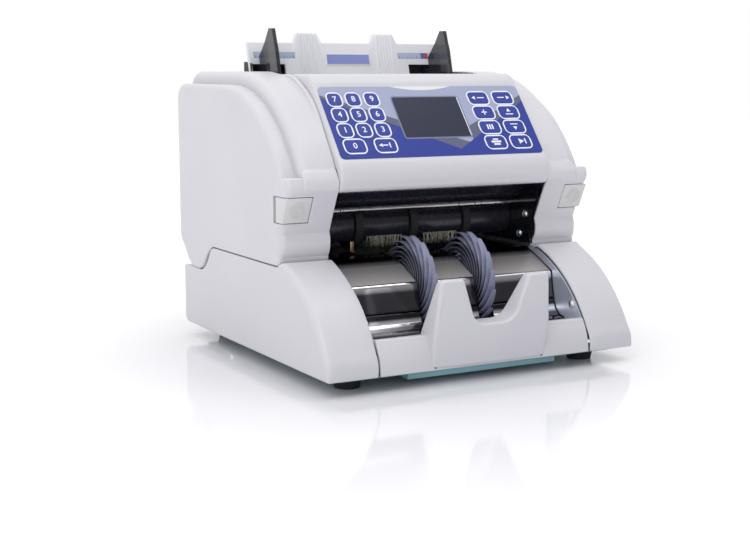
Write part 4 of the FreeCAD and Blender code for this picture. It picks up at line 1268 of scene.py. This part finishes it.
def hairMesh():
    bm = bmesh.new()
    loops = []
    for down, wide in ((0, 1.0), (0.45, 0.9), (1.0, 0.35)):
        loop = []
        for part in range(3):
            angle = math.tau * part / 3
            loop.append(bm.verts.new(Vector((brush["hair"] * wide * math.cos(angle),
                                             brush["hair"] * wide * math.sin(angle) - 0.6 * down * down,
                                             -brush["length"] * down)) * mm))
        loops.append(loop)
    bridge(bm, loops)
    bm.faces.new(loops[0])
    bm.faces.new(loops[-1])
    return finishMesh(bm, "hair")


def brushTree():
    g = Grower("brushHairs", {"Hairs": "NodeSocketInt", "Start": "NodeSocketVector",
                              "Pitch": "NodeSocketVector", "Lean": "NodeSocketFloat",
                              "Seed": "NodeSocketInt", "Material": "NodeSocketMaterial"})
    entry = g.entry.outputs
    line = g.node("GeometryNodeMeshLine", {"mode": "OFFSET"}, Count=entry["Hairs"],
                  StartLocation=entry["Start"], Offset=entry["Pitch"])
    wide = g.node("ShaderNodeCombineXYZ")
    g.plug(wide.inputs[0], entry["Lean"])
    g.plug(wide.inputs[1], entry["Lean"])
    wide.inputs[2].default_value = math.pi
    narrow = g.node("ShaderNodeVectorMath", {"operation": "SCALE"})
    g.plug(narrow.inputs[0], wide.outputs[0])
    narrow.inputs["Scale"].default_value = -1.0
    lean = g.node("FunctionNodeRandomValue", {"data_type": "FLOAT_VECTOR"}, Min=narrow.outputs[0],
                  Max=wide.outputs[0], Seed=entry["Seed"])
    size = g.node("FunctionNodeRandomValue", {"data_type": "FLOAT"}, Min=0.78, Max=1.0,
                  Seed=entry["Seed"])
    hairs = g.node("GeometryNodeInstanceOnPoints", Points=line.outputs[0],
                   Instance=entry["Geometry"], Rotation=lean.outputs[0], Scale=size.outputs[1])
    g.close(hairs.outputs[0])
    return g


hairTree = brushTree()
parts = []
for number, (x0, x1) in enumerate(brush["spans"]):
    tuft = place(hairMesh(), f"tuft{number}")
    hairTree.grow(tuft, Hairs=brush["hairs"], Lean=brush["lean"], Seed=brush["seed"] + number,
                  Material=bristle, Start=(x0 * mm, brush["y"] * mm, brush["top"] * mm),
                  Pitch=((x1 - x0) / brush["hairs"] * mm, 0.0, 0.0))
    settle(tuft)
    parts.append(tuft)
bm = bmesh.new()
for tuft in parts:
    bm.from_mesh(tuft.data)
mesh = bpy.data.meshes.new("brushes")
bm.to_mesh(mesh)
bm.free()
for tuft in parts:
    bpy.data.objects.remove(tuft)
finish(place(mesh, "brushes"), "upper_unit", bristle, ["antistatic_brushes"])


print("control panel printing")
keys = {"columns": (-85.2, -68.0, -50.8), "functionColumns": (53.3, 78.5),
        "rows": (13.4, 28.8, 44.3), "last": 59.9, "number": (11.7, 12.0), "wide": (18.0, 12.2),
        "function": (19.0, 12.0), "corner": 3.4, "line": 1.4, "filmTop": 0.8, "keyTop": 1.3,
        "clearance": 0.3, "digit": 7.6}


def keyPlaces():
    spots = {}
    for r, row in enumerate(("789", "456", "123")):
        for c, digit in enumerate(row):
            spots[digit] = (keys["columns"][c], keys["rows"][r], keys["number"])
    spots["0"] = (-81.5, keys["last"], keys["wide"])
    spots["clear"] = (-53.4, keys["last"], keys["wide"])
    names = (("left", "right"), ("add", "up"), ("set", "down"), ("print", "start"))
    for row, down in zip(names, keys["rows"] + (keys["last"],)):
        for column, name in enumerate(row):
            spots[name] = (keys["functionColumns"][column], down, keys["function"])
    return spots


def roundRect(width, height, radius, count=6):
    w, h = width / 2, height / 2
    return cornered([(-w, -h), (-w, h), (w, h), (w, -h)], [radius] * 4, count)


def flatBand(bm, centre, outer, inner, rise, thick=0.06):
    # a thin printed line between two outlines, laid on the panel
    tops = []
    for ring, high in ((outer, 0), (outer, thick), (inner, thick), (inner, 0)):
        tops.append([bm.verts.new(onPanel(centre[0] + p[0], centre[1] - p[1], rise + high) * mm)
                     for p in ring])
    bridge(bm, tops + tops[:1])


spots = keyPlaces()
display = {"down": 32.4, "outer": (66.4, 43.6, 3.0), "inner": (63.2, 40.6, 1.8),
           "edgeX": (31.2, 31.9), "edgeReach": 19.8, "edgeRise": (1.0, 1.08)}


def keyOutlines(bm):
    line, corner = keys["line"], keys["corner"]
    for x, down, (width, height) in spots.values():
        width += keys["clearance"]
        height += keys["clearance"]
        outer = roundRect(width + 2 * line, height + 2 * line, corner + line + 0.8)
        flatBand(bm, (x, down), outer, roundRect(width, height, corner + 0.15), keys["filmTop"])


def displayBorder(bm):
    flatBand(bm, (0.0, display["down"]), roundRect(*display["outer"]), roundRect(*display["inner"]),
             keys["filmTop"])


def displayEdge(bm):
    # the light line along the window's right side
    (x0, x1), reach = display["edgeX"], display["edgeReach"]
    outline = ((x0, -reach), (x0, reach), (x1, reach), (x1, -reach))
    slab(bm, *[[onPanel(x, display["down"] - y, rise) * mm for x, y in outline]
               for rise in display["edgeRise"]])


finish(drawn(keyOutlines, "key_outlines"), "upper_unit", whitePrint)
finish(drawn(displayBorder, "display_border"), "upper_unit", lilacPrint)
finish(drawn(displayEdge, "display_edge"), "upper_unit", whitePrint)


def textMesh(text, size):
    curve = bpy.data.curves.new("text", "FONT")
    curve.body = text
    curve.size = size * mm
    curve.align_x = "CENTER"
    curve.align_y = "CENTER"
    curve.extrude = 0.03 * mm
    curve.offset = 0.09 * mm
    holder = place(curve, "text")
    depsgraph = bpy.context.evaluated_depsgraph_get()
    mesh = bpy.data.meshes.new_from_object(holder.evaluated_get(depsgraph), depsgraph=depsgraph)
    bpy.data.objects.remove(holder)
    return mesh


def shapeInto(bm, polygons):
    # flat marks, millimetres about the key's centre, as thin prisms
    for polygon in polygons:
        slab(bm, *[[Vector((x, y, rise)) * mm for x, y in polygon] for rise in (0, 0.06)])


def arrow(x, y, size, turn):
    points = []
    for angle, reach in ((0, 1.0), (120, 1.0), (240, 1.0)):
        at = math.radians(angle + turn)
        points.append((x + size * reach * math.cos(at), y + size * reach * math.sin(at)))
    return points


def bar(x, y, width, height):
    return [(x - width / 2, y - height / 2), (x + width / 2, y - height / 2),
            (x + width / 2, y + height / 2), (x - width / 2, y + height / 2)]


marks = {
    "left": [arrow(-4.6, 0, 2.3, 180), bar(2.2, 0, 7.0, 1.0)],
    "right": [arrow(4.6, 0, 2.3, 0), bar(-2.2, 0, 7.0, 1.0)],
    "add": [bar(0, 0, 5.4, 1.1), bar(0, 0, 1.1, 5.4)],
    "up": [arrow(0, 1.4, 2.4, 90), bar(0, -2.4, 7.5, 1.0)],
    "set": [bar(-2.4, 0, 1.4, 5.0), bar(0, 0, 1.4, 5.0), bar(2.4, 0, 1.4, 5.0)],
    "down": [arrow(0, -1.4, 2.4, 270), bar(0, 2.4, 7.5, 1.0)],
    "print": [bar(0, 2.6, 5.4, 1.4), bar(0, 0.2, 9.6, 2.0), bar(0, -2.4, 6.4, 1.8)],
    "start": [arrow(-0.4, 0, 3.2, 0), bar(4.4, 0, 1.2, 5.4)],
    "clear": [bar(-1.0, 0, 6.0, 1.1), arrow(-4.4, 0, 2.2, 180), bar(3.6, 0, 1.1, 5.0)],
}
for name, (x, down, size) in spots.items():
    bm = bmesh.new()
    if name in marks:
        shapeInto(bm, marks[name])
    else:
        bm.from_mesh(textMesh(name, keys["digit"]))
    for vert in bm.verts:
        vert.co = onPanel(x + vert.co.x / mm, down - vert.co.y / mm,
                          keys["keyTop"] + 0.02 + vert.co.z / mm) * mm
    legend = place(finishMesh(bm, f"legend_{name}"), f"legend_{name}")
    settle(legend)
    finish(legend, f"button_{name}", whitePrint)


print("raised dots")
dots = {"rows": ((170.0, -10.6, 1), (162.0, -10.0, 3), (154.0, -9.6, 5), (146.0, -9.4, 5),
                 (138.0, -9.2, 5), (130.0, -9.0, 5), (122.4, -9.0, 3), (114.6, -8.8, 1)),
        "pitch": 7.2, "radius": 1.0, "x": 145.0}


def dotCloud():
    bm = bmesh.new()
    for z, y, count in dots["rows"]:
        for i in range(count):
            bm.verts.new(Vector((0, y + (i - (count - 1) / 2) * dots["pitch"], z)) * mm)
    mesh = bpy.data.meshes.new("dots")
    bm.to_mesh(mesh)
    bm.free()
    return mesh


def dotTree():
    g = Grower("raisedDots", {"Radius": "NodeSocketFloat", "Side": "NodeSocketVector",
                              "Material": "NodeSocketMaterial"})
    entry = g.entry.outputs
    ball = g.node("GeometryNodeMeshUVSphere", Segments=10, Rings=6, Radius=entry["Radius"])
    flat = g.node("GeometryNodeTransform", Geometry=ball.outputs[0], Scale=(0.28, 1.0, 1.0))
    spread = g.node("GeometryNodeInstanceOnPoints", Points=entry["Geometry"],
                    Instance=flat.outputs[0])
    moved = g.node("GeometryNodeTransform", Geometry=spread.outputs[0], Translation=entry["Side"])
    g.close(moved.outputs[0])
    return g


dotMaker = dotTree()
for side, which in ((-1, "left"), (1, "right")):
    cluster = place(dotCloud(), f"dots_{which}")
    dotMaker.grow(cluster, Radius=dots["radius"] * mm, Side=(side * (dots["x"] - 0.08) * mm, 0.0, 0.0),
                  Material=coverPlastic)
    settle(cluster)
    finish(cluster, "upper_unit", coverPlastic)


print("stage, lights and camera")
studio = {"top": 2.4, "left": 2.3, "strip": 2.0, "front": 2.2, "bright": 1.0, "dim": 0.22,
          "dimAt": (0.42, -0.89, 0.12), "cool": (0.88, 0.9, 1.0), "near": 0.2, "far": 0.55,
          "glow": (0.3, 0.3, 0.3)}


def lamp(name, spot, target, size, power, colour=(1, 1, 1)):
    light = bpy.data.lights.new(name, "AREA")
    light.shape = "RECTANGLE"
    light.size, light.size_y = size
    light.energy = power
    light.color = colour
    obj = bpy.data.objects.new(name, light)
    bpy.context.scene.collection.objects.link(obj)
    obj.location = spot
    obj.rotation_euler = (Vector(target) - Vector(spot)).to_track_quat("-Z", "Y").to_euler()


lamp("softTop", (-0.1, 0.1, 1.3), (0, 0, 0.1), (1.4, 1.0), studio["top"])
lamp("softLeft", (-1.0, -0.9, 1.1), (0, 0, 0.12), (0.5, 0.5), studio["left"])
lamp("softFront", (-0.15, -1.5, 0.5), (0, -0.1, 0.12), (0.9, 0.6), studio["front"],
     studio["cool"])
lamp("strip", (0.2, -0.35, 1.2), (0, -0.05, 0.1), (1.0, 0.12), studio["strip"])

world = bpy.data.worlds.new("studio")
bpy.context.scene.world = world
bpy.context.scene.view_settings.view_transform = "Standard"
world.use_nodes = True
tree = world.node_tree
heading = tree.nodes.new("ShaderNodeTexCoord")
facing = tree.nodes.new("ShaderNodeVectorMath")        # how far a direction points to the dim side
facing.operation = "DOT_PRODUCT"
tree.links.new(heading.outputs["Generated"], facing.inputs[0])
facing.inputs[1].default_value = studio["dimAt"]
light = Wire(tree, facing.outputs["Value"]).step(0.55, 0.86) * (studio["dim"] - studio["bright"])
plug(tree, tree.nodes["Background"].inputs["Strength"], light + studio["bright"])
tree.nodes["Background"].inputs["Color"].default_value = (1, 1, 1, 1)


def floorFinish():
    f = Finish("paleFloor")
    faint = f.noise(3.0, 2.0)
    x, y = f.axis("X"), f.axis("Y")
    away = (x * x + y * y).math("SQRT")      # the floor brightens to white away from the machine
    return f.done(Base_Color=f.blend(faint, (0.84, 0.84, 0.87), (0.82, 0.82, 0.855)),
                  Roughness=0.07 + faint * 0.03, Emission_Strength=1.0,
                  Emission_Color=f.blend(away.step(studio["near"], studio["far"]), (0, 0, 0),
                                         studio["glow"]))


bpy.ops.mesh.primitive_plane_add(size=8.0, location=(0, 0, 0))
floor = bpy.context.object
floor.name = "floor"
floor.data.materials.append(floorFinish())

cameraData = bpy.data.cameras.new("camera")
cameraData.sensor_width = 36.0
cameraData.lens = 63.84
camera = bpy.data.objects.new("camera", cameraData)
bpy.context.scene.collection.objects.link(camera)
camera.location = (-0.57894, -1.0120, 0.24302)
camera.rotation_euler = Vector((0.47583, 0.86699, -0.14805)).to_track_quat("-Z", "Y").to_euler()
bpy.context.scene.camera = camera

print("done")
